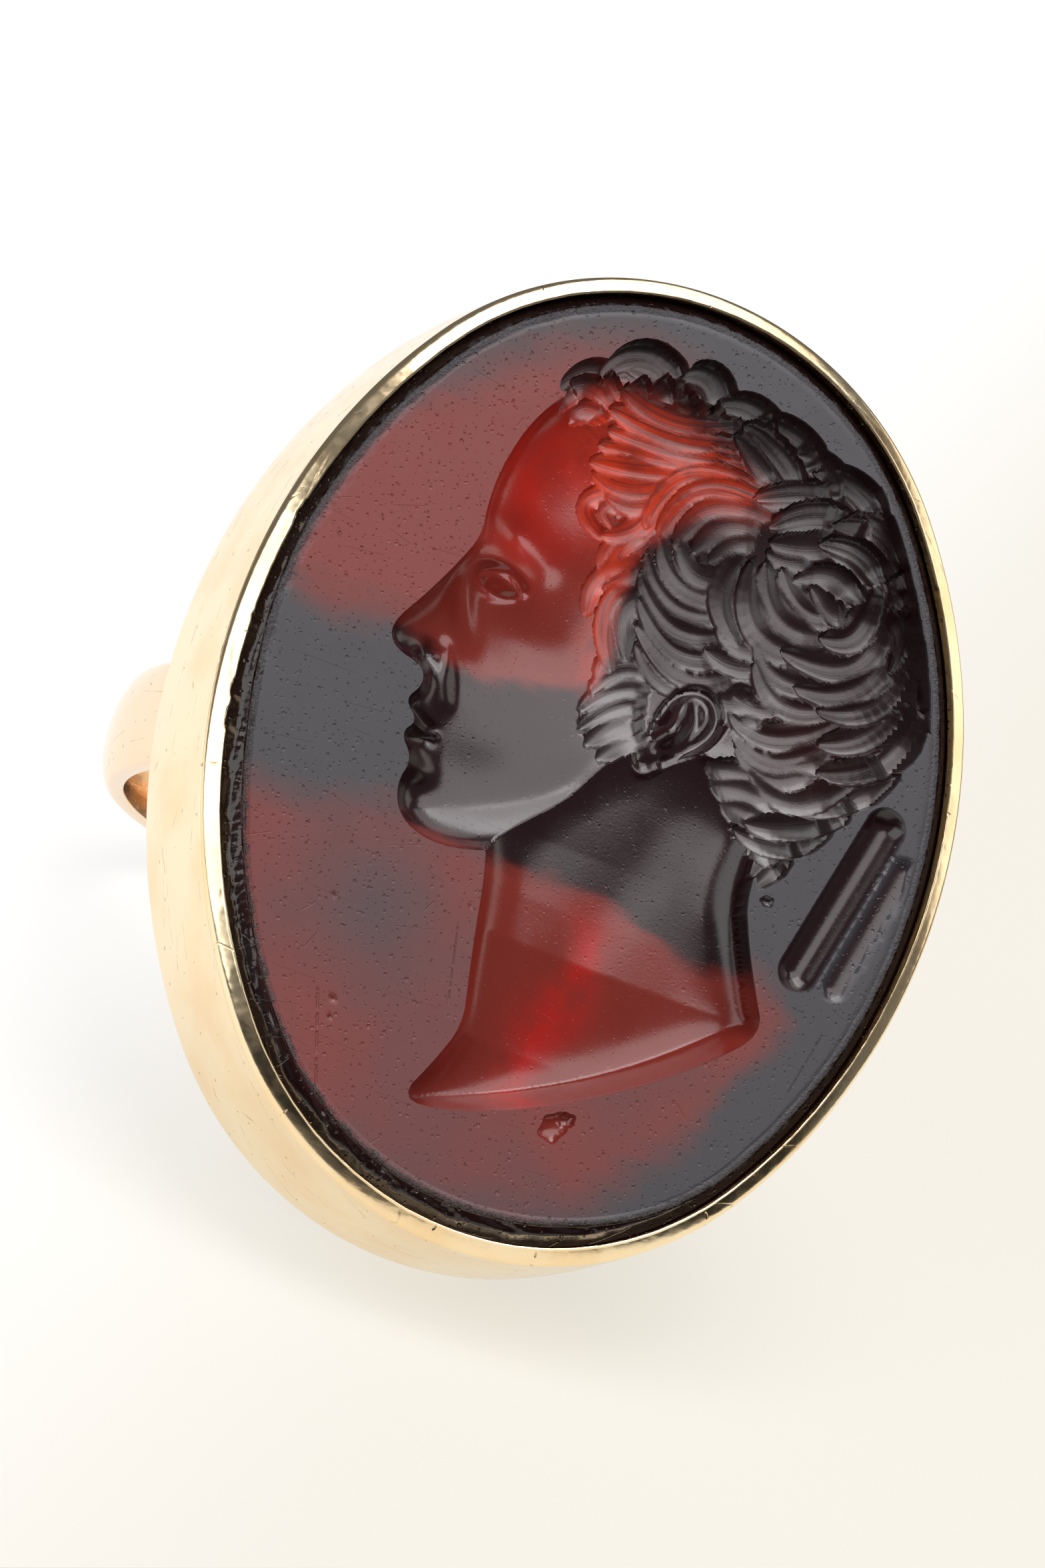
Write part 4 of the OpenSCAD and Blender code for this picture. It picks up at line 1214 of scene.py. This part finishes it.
@dataclass(frozen=True)
class Effects:
    """Shader effects that both finishes use: places on the ring, pits and hairline scratches."""

    lie: Lie
    turns: tuple[int, ...] = (17, 74, 131)

    def ring_place(self) -> bpy.types.NodeTree:
        """The group that gives a surface point in the ring's own axes, in millimetres."""
        graph, _, result = new_group("ring_place", {}, "Place", "Vector")
        graph.feed(result, graph.out("ShaderNodeMapping", {
            "Vector": graph.out("ShaderNodeTexCoord", {}, "Object"),
            "Location": (0, -self.lie.back * MM, self.lie.lift * MM),
            "Rotation": (math.radians(self.lie.turn), 0, 0), "Scale": (MM, MM, MM)}, vector_type="TEXTURE"))
        return graph.tree

    def marks(self, name: str) -> tuple[Graph, list[Value], bpy.types.NodeSocket]:
        """Starts a group that draws marks of a size over a flat place, for a share of its cells."""
        inputs = {"Place": "Vector", "Scale": "Float", "Size": "Float", "Share": "Float"}
        return new_group(name, inputs, "Mask", "Float")

    def pits(self) -> bpy.types.NodeTree:
        """The group that scatters small uneven pits over a flat place given in millimetres."""
        graph, (place, scale, size, share), result = self.marks("pits")
        bend = graph.noise(place, 7.0, 1.0, pick=1, noise_dimensions="2D") * (0.07, 0.07, 0.0)
        far, _, (chance, spread, _) = graph.cells(place + bend, scale)
        deep = 1.0 - far / (size * (spread * 0.9 + 0.3))
        graph.feed(result, graph.math("LESS_THAN", chance, share) * graph.fade(deep, 0.0, 0.7))
        return graph.tree

    def hairlines(self) -> bpy.types.NodeTree:
        """The group that draws short scratches in three directions over a flat place in millimetres."""
        graph, (place, scale, size, share), result = self.marks("hairlines")
        total = None
        for turn in self.turns:
            turned = graph.out("ShaderNodeMapping", {
                "Vector": place, "Rotation": (0.0, 0.0, math.radians(turn)),
                "Scale": (0.25, 1.0, 1.0), "Location": (turn * 0.37, 0.0, 0.0)})
            _, spot, (chance, lean, length) = graph.cells(turned, scale)
            x, y, _ = graph.split(turned - spot)
            near = graph.math("ABSOLUTE", x * ((lean - 0.5) * 1.4) + y) / size
            along = graph.math("ABSOLUTE", x) / ((length * 0.3 + 0.08) / scale)
            line = graph.fade(near, 0.2, 1.0, 1.0, 0.0) * graph.fade(along, 0.5, 1.0, 1.0, 0.0)
            line *= graph.math("LESS_THAN", chance, share)
            total = line if total is None else total | line
        graph.feed(result, total)
        return graph.tree


@dataclass(frozen=True)
class Finish:
    """What both finishes share: the groups of their effects."""

    place: bpy.types.NodeTree
    pits: bpy.types.NodeTree
    hairlines: bpy.types.NodeTree

    def effect(self, graph: Graph, tree: bpy.types.NodeTree, *values: object) -> Value:
        """Places one of the effects in a material, with its inputs in order."""
        return graph.out("ShaderNodeGroup", dict(enumerate(values)), node_tree=tree)


@dataclass(frozen=True)
class WornGold(Finish):
    """Polished yellow gold with a fine grain round the ring, short scratches and small pits."""

    bright: Colour = (1.0, 0.82, 0.54)
    warm: Colour = (0.97, 0.73, 0.43)
    rosy: Colour = (0.98, 0.75, 0.55)
    dull: Colour = (0.42, 0.27, 0.12)
    hoop_top: float = -5.4
    hoop_radius: float = 9.3
    bezel_radius: float = 12.0
    bezel_stretch: float = 1.28

    def unrolled(self, graph: Graph, place: Value) -> tuple[Value, Value]:
        """Unrolls the setting and the hoop.

        Args:
            graph: The material's graph.
            place: Place on the ring, in millimetres.

        Returns:
            The place on the unrolled gold, and a mask that is 1 on the hoop.
        """
        x, y, z = graph.split(place)
        on_hoop = graph.fade(z, self.hoop_top - 0.4, self.hoop_top, 1.0, 0.0)
        around = graph.math("ARCTAN2", y, x * self.bezel_stretch) * self.bezel_radius
        setting = graph.join(around, z + graph.vector("LENGTH", graph.join(x, y)))
        hoop = graph.join(graph.math("ARCTAN2", x, z - HOOP_CENTRE) * self.hoop_radius, y)
        inputs = {0: on_hoop, 4: setting, 5: hoop}
        return graph.out("ShaderNodeMix", inputs, 1, data_type="VECTOR"), on_hoop

    def build(self) -> bpy.types.Material:
        """Makes the material."""
        material, graph, surface = new_material("worn_gold")
        place = self.effect(graph, self.place)
        flat, on_hoop = self.unrolled(graph, place)
        grain = graph.noise(flat * (0.07, 1.0, 0.0), 8.0, 4.0, 0.6)
        smudge = graph.noise(place, 1.9, 3.0, 0.6)
        pits = self.effect(graph, self.pits, flat, 1.1, 0.055, 0.6)
        lines = self.effect(graph, self.hairlines, flat, 1.0, 0.02, 0.6)
        marks = pits | lines * graph.fade(smudge, 0.4, 0.62, 0.08, 0.75)
        colour = graph.mix(graph.fade(graph.noise(place, 0.4), 0.35, 0.7), self.bright, self.warm)
        colour = graph.mix(on_hoop * 0.8, colour, self.rosy)
        rough = graph.fade(smudge, 0.3, 0.75, 0.1, 0.18) + lines * 0.1 + grain * 0.05
        graph.feed(surface.inputs["Base Color"], graph.mix(marks * 0.7, colour, self.dull))
        graph.feed(surface.inputs["Roughness"], rough)
        surface.inputs["Metallic"].default_value = 1.0
        waves = graph.bump(graph.noise(place, 0.35, 1.0), 0.05)
        dimples = graph.bump(graph.noise(place, 2.6, 1.0), 0.006, waves)
        grained = graph.bump(grain, 0.003, dimples)
        graph.feed(surface.inputs["Normal"], graph.bump(1.0 - marks, 0.006, grained))
        return material


@dataclass(frozen=True)
class Band:
    """A red band between two borders, each with the half width over which it fades."""

    low: Outline
    low_soft: float
    top: Outline
    top_soft: float
    half_wide: float = 11.0
    half_long: float = 14.0

    def above(self, graph: Graph, spot: list[Value], border: Outline, soft: float, crisp: Value) -> Value:
        """Which side of a border a place is on.

        Args:
            graph: The material's graph.
            spot: Place across and along, in millimetres.
            border: The border's points.
            soft: Half width over which it fades.
            crisp: What that half width is divided by.

        Returns:
            0 below the border, 1 above it.
        """
        wide, long = self.half_wide, self.half_long
        points = tuple(((x / wide + 1) / 2, (y / long + 1) / 2) for x, y in border)
        line = graph.curve(spot[0] * (0.5 / wide) + 0.5, points)
        return graph.fade((spot[1] - (line * (2 * long) - long)) * crisp, -soft, soft)

    def mask(self, graph: Graph, spot: list[Value], crisp: Value) -> Value:
        """1 in the band, 0 beside it."""
        low = self.above(graph, spot, self.low, self.low_soft, crisp)
        return low * (1.0 - self.above(graph, spot, self.top, self.top_soft, crisp))


@dataclass(frozen=True)
class BandedGlass(Finish):
    """Near-black glass with soft red bands: satin and pitted on the field, glossy where it is cut."""

    slate: Colour = (0.036, 0.035, 0.041)
    umber: Colour = (0.009, 0.003, 0.003)
    black: Colour = (0.012, 0.003, 0.0045)
    red: Colour = (0.165, 0.019, 0.013)
    # Painted glow colour: the brighter red of the carved brow, as if light came through the glass.
    painted_brow_glow_red: Colour = (0.36, 0.011, 0.005)
    # Painted glow colours: orange where light comes through the front hair, bright red along the throat.
    painted_glow_orange: Colour = (0.52, 0.034, 0.006)
    painted_glow_red: Colour = (0.33, 0.009, 0.006)
    chip: Colour = (0.13, 0.11, 0.12)
    upper: Band = Band(
        ((-10.6, 3.2), (-9.5, 2.2), (-6.5, 2.0), (-4.4, 1.7), (-2.5, 1.6), (-0.8, 2.2), (-0.1, 3.4),
         (0.3, 6.6), (1.6, 7.7), (2.9, 8.2), (4.2, 7.6), (10.9, 6.0)), 0.5,
        ((-10.6, 4.2), (-9.0, 6.9), (-7.5, 8.7), (-5.9, 9.9), (-4.1, 10.9), (-2.6, 11.5), (-0.9, 11.2),
         (0.6, 10.6), (1.7, 9.6), (2.7, 9.0), (3.6, 7.4), (4.6, 4.0), (6.0, 1.0), (10.9, 0.0)), 0.8)
    lower: Band = Band(
        ((-10.8, -5.0), (-9.3, -6.6), (-7.4, -9.8), (-5.2, -12.0), (-3.0, -12.6), (-1.0, -12.7), (0.9, -12.5),
         (2.7, -11.5), (4.3, -10.2), (5.8, -8.6), (7.1, -5.8), (8.0, -4.6), (10.9, -4.0)), 0.8,
        ((-10.8, -4.4), (-9.3, -3.7), (-7.8, -3.6), (-4.4, -3.0), (-1.1, -3.2), (1.4, -3.3), (4.5, -4.0),
         (6.6, -4.3), (7.8, -5.2), (8.4, -7.0), (10.9, -9.0)), 0.55)
    scratches: tuple[tuple[Point, Point, float], ...] = (
        ((-5.8, -8.4), (-5.0, -11.2), 0.05), ((-2.5, -5.4), (-2.1, -7.8), 0.03),
        ((8.0, -7.0), (8.6, -4.9), 0.025))
    lower_left_way: Point = (-0.62, -0.785)

    def spot(self, graph: Graph, place: Value, centre: Point, size: float) -> Value:
        """A soft round mask, 1 at its centre."""
        return graph.fade(graph.vector("DISTANCE", place * FLAT, (*centre, 0.0)), 0.0, size, 1.0, 0.0)

    def scratch(self, graph: Graph, place: Value, start: Point, end: Point, width: float) -> Value:
        """A straight scratch on the field.

        Args:
            graph: The material's graph.
            place: Flat place on the ring, in millimetres.
            start: Where the scratch starts.
            end: Where it ends.
            width: Its half width.

        Returns:
            The scratch's mask.
        """
        length = math.dist(start, end)
        dx, dy = (end[0] - start[0]) / length, (end[1] - start[1]) / length
        off = place - (*start, 0.0)
        along = graph.vector("DOT_PRODUCT", off, (dx, dy, 0.0))
        across = graph.math("ABSOLUTE", graph.vector("DOT_PRODUCT", off, (-dy, dx, 0.0)))
        ends = graph.fade(along, 0.0, 0.2) * graph.fade(along, length - 0.3, length, 1.0, 0.0)
        return ends * graph.fade(across, 0.3 * width, width, 1.0, 0.0)

    def bands(self, graph: Graph, place: Value, spot: list[Value], carved: Value) -> Value:
        """The two red bands, soft and uneven at their borders.

        Args:
            graph: The material's graph.
            place: Place on the ring, in millimetres.
            spot: The same place, bent a little, by its parts.
            carved: 1 where the glass is cut, 0 on the field.

        Returns:
            1 in a band, 0 beside it.
        """
        crisp = graph.fade(carved, 0.0, 1.0, 0.62, 1.5)
        thin = graph.fade(graph.noise(place, 0.22), 0.35, 0.62, 0.6, 0.9)
        upper = self.upper.mask(graph, spot, crisp)
        lower = self.lower.mask(graph, spot, crisp) * (thin | carved)
        patch = self.spot(graph, place, (-4.9, -5.9), 3.6) * 0.7
        nape = self.spot(graph, place, (6.3, 2.8), 2.2) * 0.35
        return (upper | lower) * (1.0 - patch) | nape

    def colour(
        self, graph: Graph, place: Value, carved: Value, rim: Value, fibre: Value, grit: Value,
    ) -> Value:
        """Colours the glass, with painted glow where light comes through it and painted shade on the hair
        beside that glow.
            carved: 1 where the glass is cut, 0 on the field.
            rim: How far the place is from the stone's edge.
            fibre: Streaks along the strands of hair.
            grit: Bruised grains along the stone's edge.

        Returns:
            The colour.
        """
        hair = graph.given("hair")
        half = (0.5, 0.5, 0.5)
        bend = (graph.noise(place, 0.33, 3.0, pick=1) - half) * (1.6, 1.6, 0.0)
        streak = (graph.noise(place * (0.5, 2.2, 0.5), 0.9, 4.0, pick=1) - half) * (0.9, 0.9, 0.0)
        glow = graph.given("glow") * carved
        edge = self.dark_edge(graph, place, rim)
        red = self.bands(graph, place, graph.split(place + (bend + streak)), carved)
        # Painted shade: the red of the hair is dimmed where the painted glow does not reach.
        unlit = graph.fade(hair, 0.0, 0.15) * graph.fade(glow, 0.0, 0.5, 1.0, 0.0)
        red = red * (1.0 - unlit * 0.8) * graph.fade(rim, 0.35, 0.75) * (1.0 - edge * 0.85)
        cloud = graph.noise(place, 0.8, 3.0)
        # Painted glow: the carved brow is coloured a brighter red, as if light came through the glass there.
        painted_brow_glow_mask = self.spot(graph, place, (-3.6, 7.4), 4.2) * graph.fade(cloud, 0.3, 0.65, 0.6, 1.0)
        dark = graph.mix(edge, graph.mix(carved, self.slate, self.black), self.umber)
        colour = graph.mix(red, dark, graph.mix(painted_brow_glow_mask * carved, self.red, self.painted_brow_glow_red))
        feather = graph.fade(fibre, 0.36, 0.56, 0.12, 1.0) * graph.fade(hair, 0.2, 0.75, 0.35, 1.0)
        on_hair = graph.fade(graph.split(place)[1], -3.4, -2.8)
        # Painted glow: the front hair turns orange and the throat bright red, as if light came through the
        # glass.
        lit = glow * ((feather - 1.0) * on_hair + 1.0) * graph.fade(cloud, 0.3, 0.6, 0.3, 1.0)
        colour = graph.mix(lit, colour, graph.mix(on_hair, self.painted_glow_red, self.painted_glow_orange))
        return graph.mix(grit * 0.4, colour, self.chip)

    def lower_left(self, graph: Graph, place: Value) -> Value:
        """How far a place lies to the lower left, 0 to 1."""
        return graph.fade(graph.vector("DOT_PRODUCT", place, (*self.lower_left_way, 0.0)), 3.0, 9.5)

    def dark_edge(self, graph: Graph, place: Value, rim: Value) -> Value:
        """The dark band inside the lip, broad and ragged at the lower left."""
        ragged = graph.noise(place, 2.2, 5.0, 0.75) * -0.7 + rim
        return graph.fade(self.lower_left(graph, place) * -0.42 + ragged, -0.08, 0.04, 1.0, 0.0)

    def marks(self, graph: Graph, place: Value) -> Value:
        """The few long scratches on the field."""
        first, *others = (self.scratch(graph, place, *scratch) for scratch in self.scratches)
        for other in others:
            first |= other
        return first * graph.fade(graph.noise(place, 5.0, 1.0), 0.32, 0.5)

    def wear(self, graph: Graph, flat: Value, off_cut: Value) -> Value:
        """Pits and scratches over a flat place, fewer where the glass is cut."""
        pits = self.effect(graph, self.pits, flat, 1.9, 0.11, 0.6)
        specks = self.effect(graph, self.pits, flat, 4.3, 0.2, 0.5)
        lines = self.effect(graph, self.hairlines, flat, 1.4, 0.01, 0.2)
        return (pits | specks * 0.45 | lines * 0.3) * off_cut | self.marks(graph, flat)

    def build(self) -> bpy.types.Material:
        """Makes the material."""
        material, graph, surface = new_material("banded_glass")
        place = self.effect(graph, self.place)
        flat = place * FLAT
        sunk, rim, across, hair = (graph.given(name) for name in ("sunk", "rim", "across", "hair"))
        carved, on_hair = graph.fade(sunk, 0.02, 0.14), graph.fade(hair, 0.0, 0.15)
        off_cut = 1.0 - carved * 0.9
        fibre = graph.noise(graph.join(across * 1.8) + place * (0.35, 0.35, 0.0), 2.2, 3.0, 0.6)
        inward = self.lower_left(graph, place) * -0.3 + rim
        edge = graph.fade(inward, 0.28, 0.36) * graph.fade(inward, 0.42, 0.58, 1.0, 0.0)
        grains = graph.noise(place, 9.0, 3.0, 0.75)
        grit = edge * graph.fade(grains, 0.52, 0.66)
        graph.feed(surface.inputs["Base Color"], self.colour(graph, place, carved, rim, fibre, grit))
        satin = graph.fade(sunk, 0.01, 0.06, 0.46, 0.16) * graph.fade(rim, 0.2, 0.4, 0.35, 1.0)
        satin = satin * graph.fade(self.dark_edge(graph, place, rim), 0.0, 1.0, 1.0, 0.3) + on_hair * 0.16
        uneven = graph.fade(graph.noise(place, 0.8), 0.3, 0.7, 0.0, 0.05)
        graph.feed(surface.inputs["Roughness"], satin + uneven)
        surface.inputs["IOR"].default_value = 1.52
        nearer_nape = graph.fade(graph.split(place)[1], 0.5, 5.0, 0.75, 0.1)
        graph.feed(surface.inputs["Coat Weight"], on_hair * nearer_nape)
        surface.inputs["Coat Roughness"].default_value = 0.22
        pimples = self.effect(graph, self.pits, flat + (3.3, 1.7, 0.0), 2.9, 0.11, 0.6)
        relief = graph.bump(graph.noise(place, 12.0), 0.0015)
        relief = graph.bump(pimples * off_cut, 0.022, relief)
        relief = graph.bump(hair * fibre, 0.012, relief)
        relief = graph.bump(edge * grains, 0.1, relief)
        relief = graph.bump(1.0 - self.wear(graph, flat, off_cut), 0.025, relief)
        graph.feed(surface.inputs["Normal"], relief)
        return material


@dataclass(frozen=True)
class Softbox:
    """A soft square light aimed at the ring."""

    name: str
    towards: tuple[float, float, float]
    distance: float
    size: Point
    radiance: float
    tint: Colour = (1.0, 1.0, 1.0)

    def build(self, aim: Vector) -> bpy.types.Object:
        """Hangs the light.

        Args:
            aim: The place that it lights.

        Returns:
            The light.
        """
        lamp = bpy.data.lights.new(self.name, "AREA")
        lamp.shape = "RECTANGLE"
        lamp.size, lamp.size_y = self.size
        lamp.energy = self.radiance * math.pi * self.size[0] * self.size[1]
        lamp.color = self.tint
        made = bpy.data.objects.new(self.name, lamp)
        made.location = aim + Vector(self.towards).normalized() * self.distance
        made.rotation_euler = Vector(self.towards).to_track_quat("Z", "Y").to_euler()
        bpy.context.scene.collection.objects.link(made)
        return made


@dataclass(frozen=True)
class Studio:
    """Camera, floor and lights."""

    lie: Lie
    lens: float = 150.0
    film: float = 36.0
    up: tuple[float, float, float] = (-0.3295, 0.9366, 0.1191)
    back: tuple[float, float, float] = (-0.2908, -0.2207, 0.9310)
    shift: tuple[float, float, float] = (1.99, 0.53, -179.81)
    boxes: tuple[Softbox, ...] = (
        Softbox("veil_box", (0.2, -0.47, 0.86), 0.36, (0.36, 0.205), 2.9, (1.0, 0.94, 0.945)),
        Softbox("nape_box", (-0.06, -0.05, 0.99), 0.38, (0.25, 0.25), 5.0, (1.0, 0.96, 0.965)),
        Softbox("left_box", (-0.72, -0.52, 0.45), 0.42, (0.3, 0.34), 2.0),
        Softbox("top_box", (0.22, 0.22, 0.95), 0.45, (0.3, 0.26), 1.5),
        Softbox("right_box", (0.86, 0.26, 0.42), 0.45, (0.34, 0.24), 1.2, (1.0, 0.94, 0.86)))
    edge_way: Point = (0.481, -0.877)
    near_card: tuple[float, float, float, float] = (0.0235, 0.062, -0.33, -0.017)
    far_card: tuple[float, float, float, float] = (0.062, 0.11, -0.33, 0.09)
    card_lift: float = 0.0005
    card_height: float = 0.034
    floor_side: float = 3.0
    floor_colour: Colour = (0.15, 0.147, 0.143)
    # Painted shade: the dimmer, warmer glow of the floor on the near side, round the ring.
    floor_painted_shade: Colour = (0.82, 0.79, 0.705)
    floor_far: Colour = (1.0, 1.0, 1.0)
    floor_glow: float = 0.86
    card_colour: Colour = (0.02, 0.02, 0.02)
    room_colour: Colour = (1.0, 0.99, 0.97)
    room_light: float = 0.14

    def camera(self) -> None:
        """Places the camera: its axes are given on the ring, the shift is the ring's middle seen from it."""
        back = Vector(self.back).normalized()
        right = Vector(self.up).cross(back).normalized()
        turn = Matrix((right, back.cross(right), back))
        camera = bpy.data.objects.new("camera", bpy.data.cameras.new("camera"))
        camera.data.lens, camera.data.sensor_width, camera.data.sensor_fit = self.lens, self.film, "AUTO"
        camera.data.clip_start, camera.data.clip_end = 0.01, 20.0
        eye = self.lie.matrix() @ (turn.transposed() @ -Vector(self.shift))
        tilt = Matrix.Rotation(math.radians(self.lie.turn), 3, "X") @ turn.transposed()
        camera.matrix_world = Matrix.Translation(eye) @ tilt.to_4x4()
        bpy.context.scene.collection.objects.link(camera)
        bpy.context.scene.camera = camera

    def floor(self) -> None:
        """Lays the pale glowing floor, with painted shade: it glows dimmer and warmer on the near side, round
        the ring.
        """
        side = self.floor_side
        corners = [(-side, -side, 0), (side, -side, 0), (side, side, 0), (-side, side, 0)]
        sheet = mesh_object("floor", np.array(corners), [[0, 1, 2, 3]], 30)
        material, graph, surface = dull_material("pale_floor", self.floor_colour)
        x, y, _ = graph.split(graph.out("ShaderNodeNewGeometry", {}, "Position"))
        # Painted shade: the floor's glow turns dimmer and warmer on the near side of this line.
        far = graph.fade(x * -2.0 + y, -0.02, 0.03)
        graph.feed(surface.inputs["Emission Color"], graph.mix(far, self.floor_painted_shade, self.floor_far))
        surface.inputs["Emission Strength"].default_value = self.floor_glow
        sheet.data.materials.append(material)

    def flag(self) -> None:
        """Lays dark cards in front of the picture's lower edge, the last one with an upright back."""
        away = Vector(self.edge_way)
        side = Vector((-away.y, away.x))
        points, faces = [], []
        for start, end, left, right in (self.near_card, self.far_card):
            for out, along in ((start, left), (start, right), (end, right), (end, left)):
                points.append((*(out * away + along * side), self.card_lift))
            faces.append([len(points) - k for k in (4, 3, 2, 1)])
        points += [(*Vector(points[k][:2]), self.card_height) for k in (-2, -1)]
        faces.append([6, 7, 9, 8])
        card = mesh_object("dark_flag", np.array(points), faces, 30)
        material, _, _ = dull_material("dark_card", self.card_colour)
        card.data.materials.append(material)

    def build(self) -> None:
        """Sets up the camera, the floor and the light."""
        self.camera()
        self.floor()
        self.flag()
        middle = self.lie.matrix().translation
        for box in self.boxes:
            box.build(middle)
        world = bpy.data.worlds.new("room")
        world.use_nodes = True
        sky = world.node_tree.nodes["Background"]
        sky.inputs["Color"].default_value = (*self.room_colour, 1.0)
        sky.inputs["Strength"].default_value = self.room_light
        bpy.context.scene.world = world
        bpy.context.scene.view_settings.view_transform = "Standard"


@dataclass
class Ring:
    """The whole ring: the gold mount and the stone, dressed."""

    lie: Lie
    oval: Oval

    def gold(self, finish: bpy.types.Material) -> bpy.types.Object:
        """Makes the mount: the setting and the hoop, soldered into one body.

        Args:
            finish: The gold.

        Returns:
            The mount.
        """
        mount = Setting(self.oval).build(self.lie)
        hoop = Hoop().build(self.lie)
        join = mount.modifiers.new("solder", "BOOLEAN")
        join.operation, join.solver, join.object = "UNION", "EXACT", hoop
        bpy.context.view_layer.update()
        fused = bpy.data.meshes.new_from_object(mount.evaluated_get(bpy.context.evaluated_depsgraph_get()))
        mount.modifiers.clear()
        bpy.data.objects.remove(hoop)
        mount.data, mount.name = fused, "gold_mount"
        fused.materials.clear()
        fused.materials.append(finish)
        fused.set_sharp_from_angle(angle=math.radians(30))
        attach(mount, "root")
        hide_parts("ring_mount")
        return mount

    def stone(self, finish: bpy.types.Material) -> bpy.types.Object:
        """Makes the stone.

        Args:
            finish: The banded glass.

        Returns:
            The stone.
        """
        stone = Stone(self.oval, Bust()).build(self.lie)
        stone.data.materials.append(finish)
        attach(stone, "root")
        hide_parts("intaglio_stone")
        return stone


def main() -> None:
    """Builds the ring, its finishes and the studio."""
    logging.basicConfig(level=logging.INFO, format="%(message)s")
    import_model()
    lie, oval = Lie(), Oval()
    Studio(lie).build()
    effects = Effects(lie)
    trees = (effects.ring_place(), effects.pits(), effects.hairlines())
    ring = Ring(lie, oval)
    for piece in (ring.gold(WornGold(*trees).build()), ring.stone(BandedGlass(*trees).build())):
        log.info("%s: %d faces", piece.name, len(piece.data.polygons))


if __name__ == "__main__":
    main()
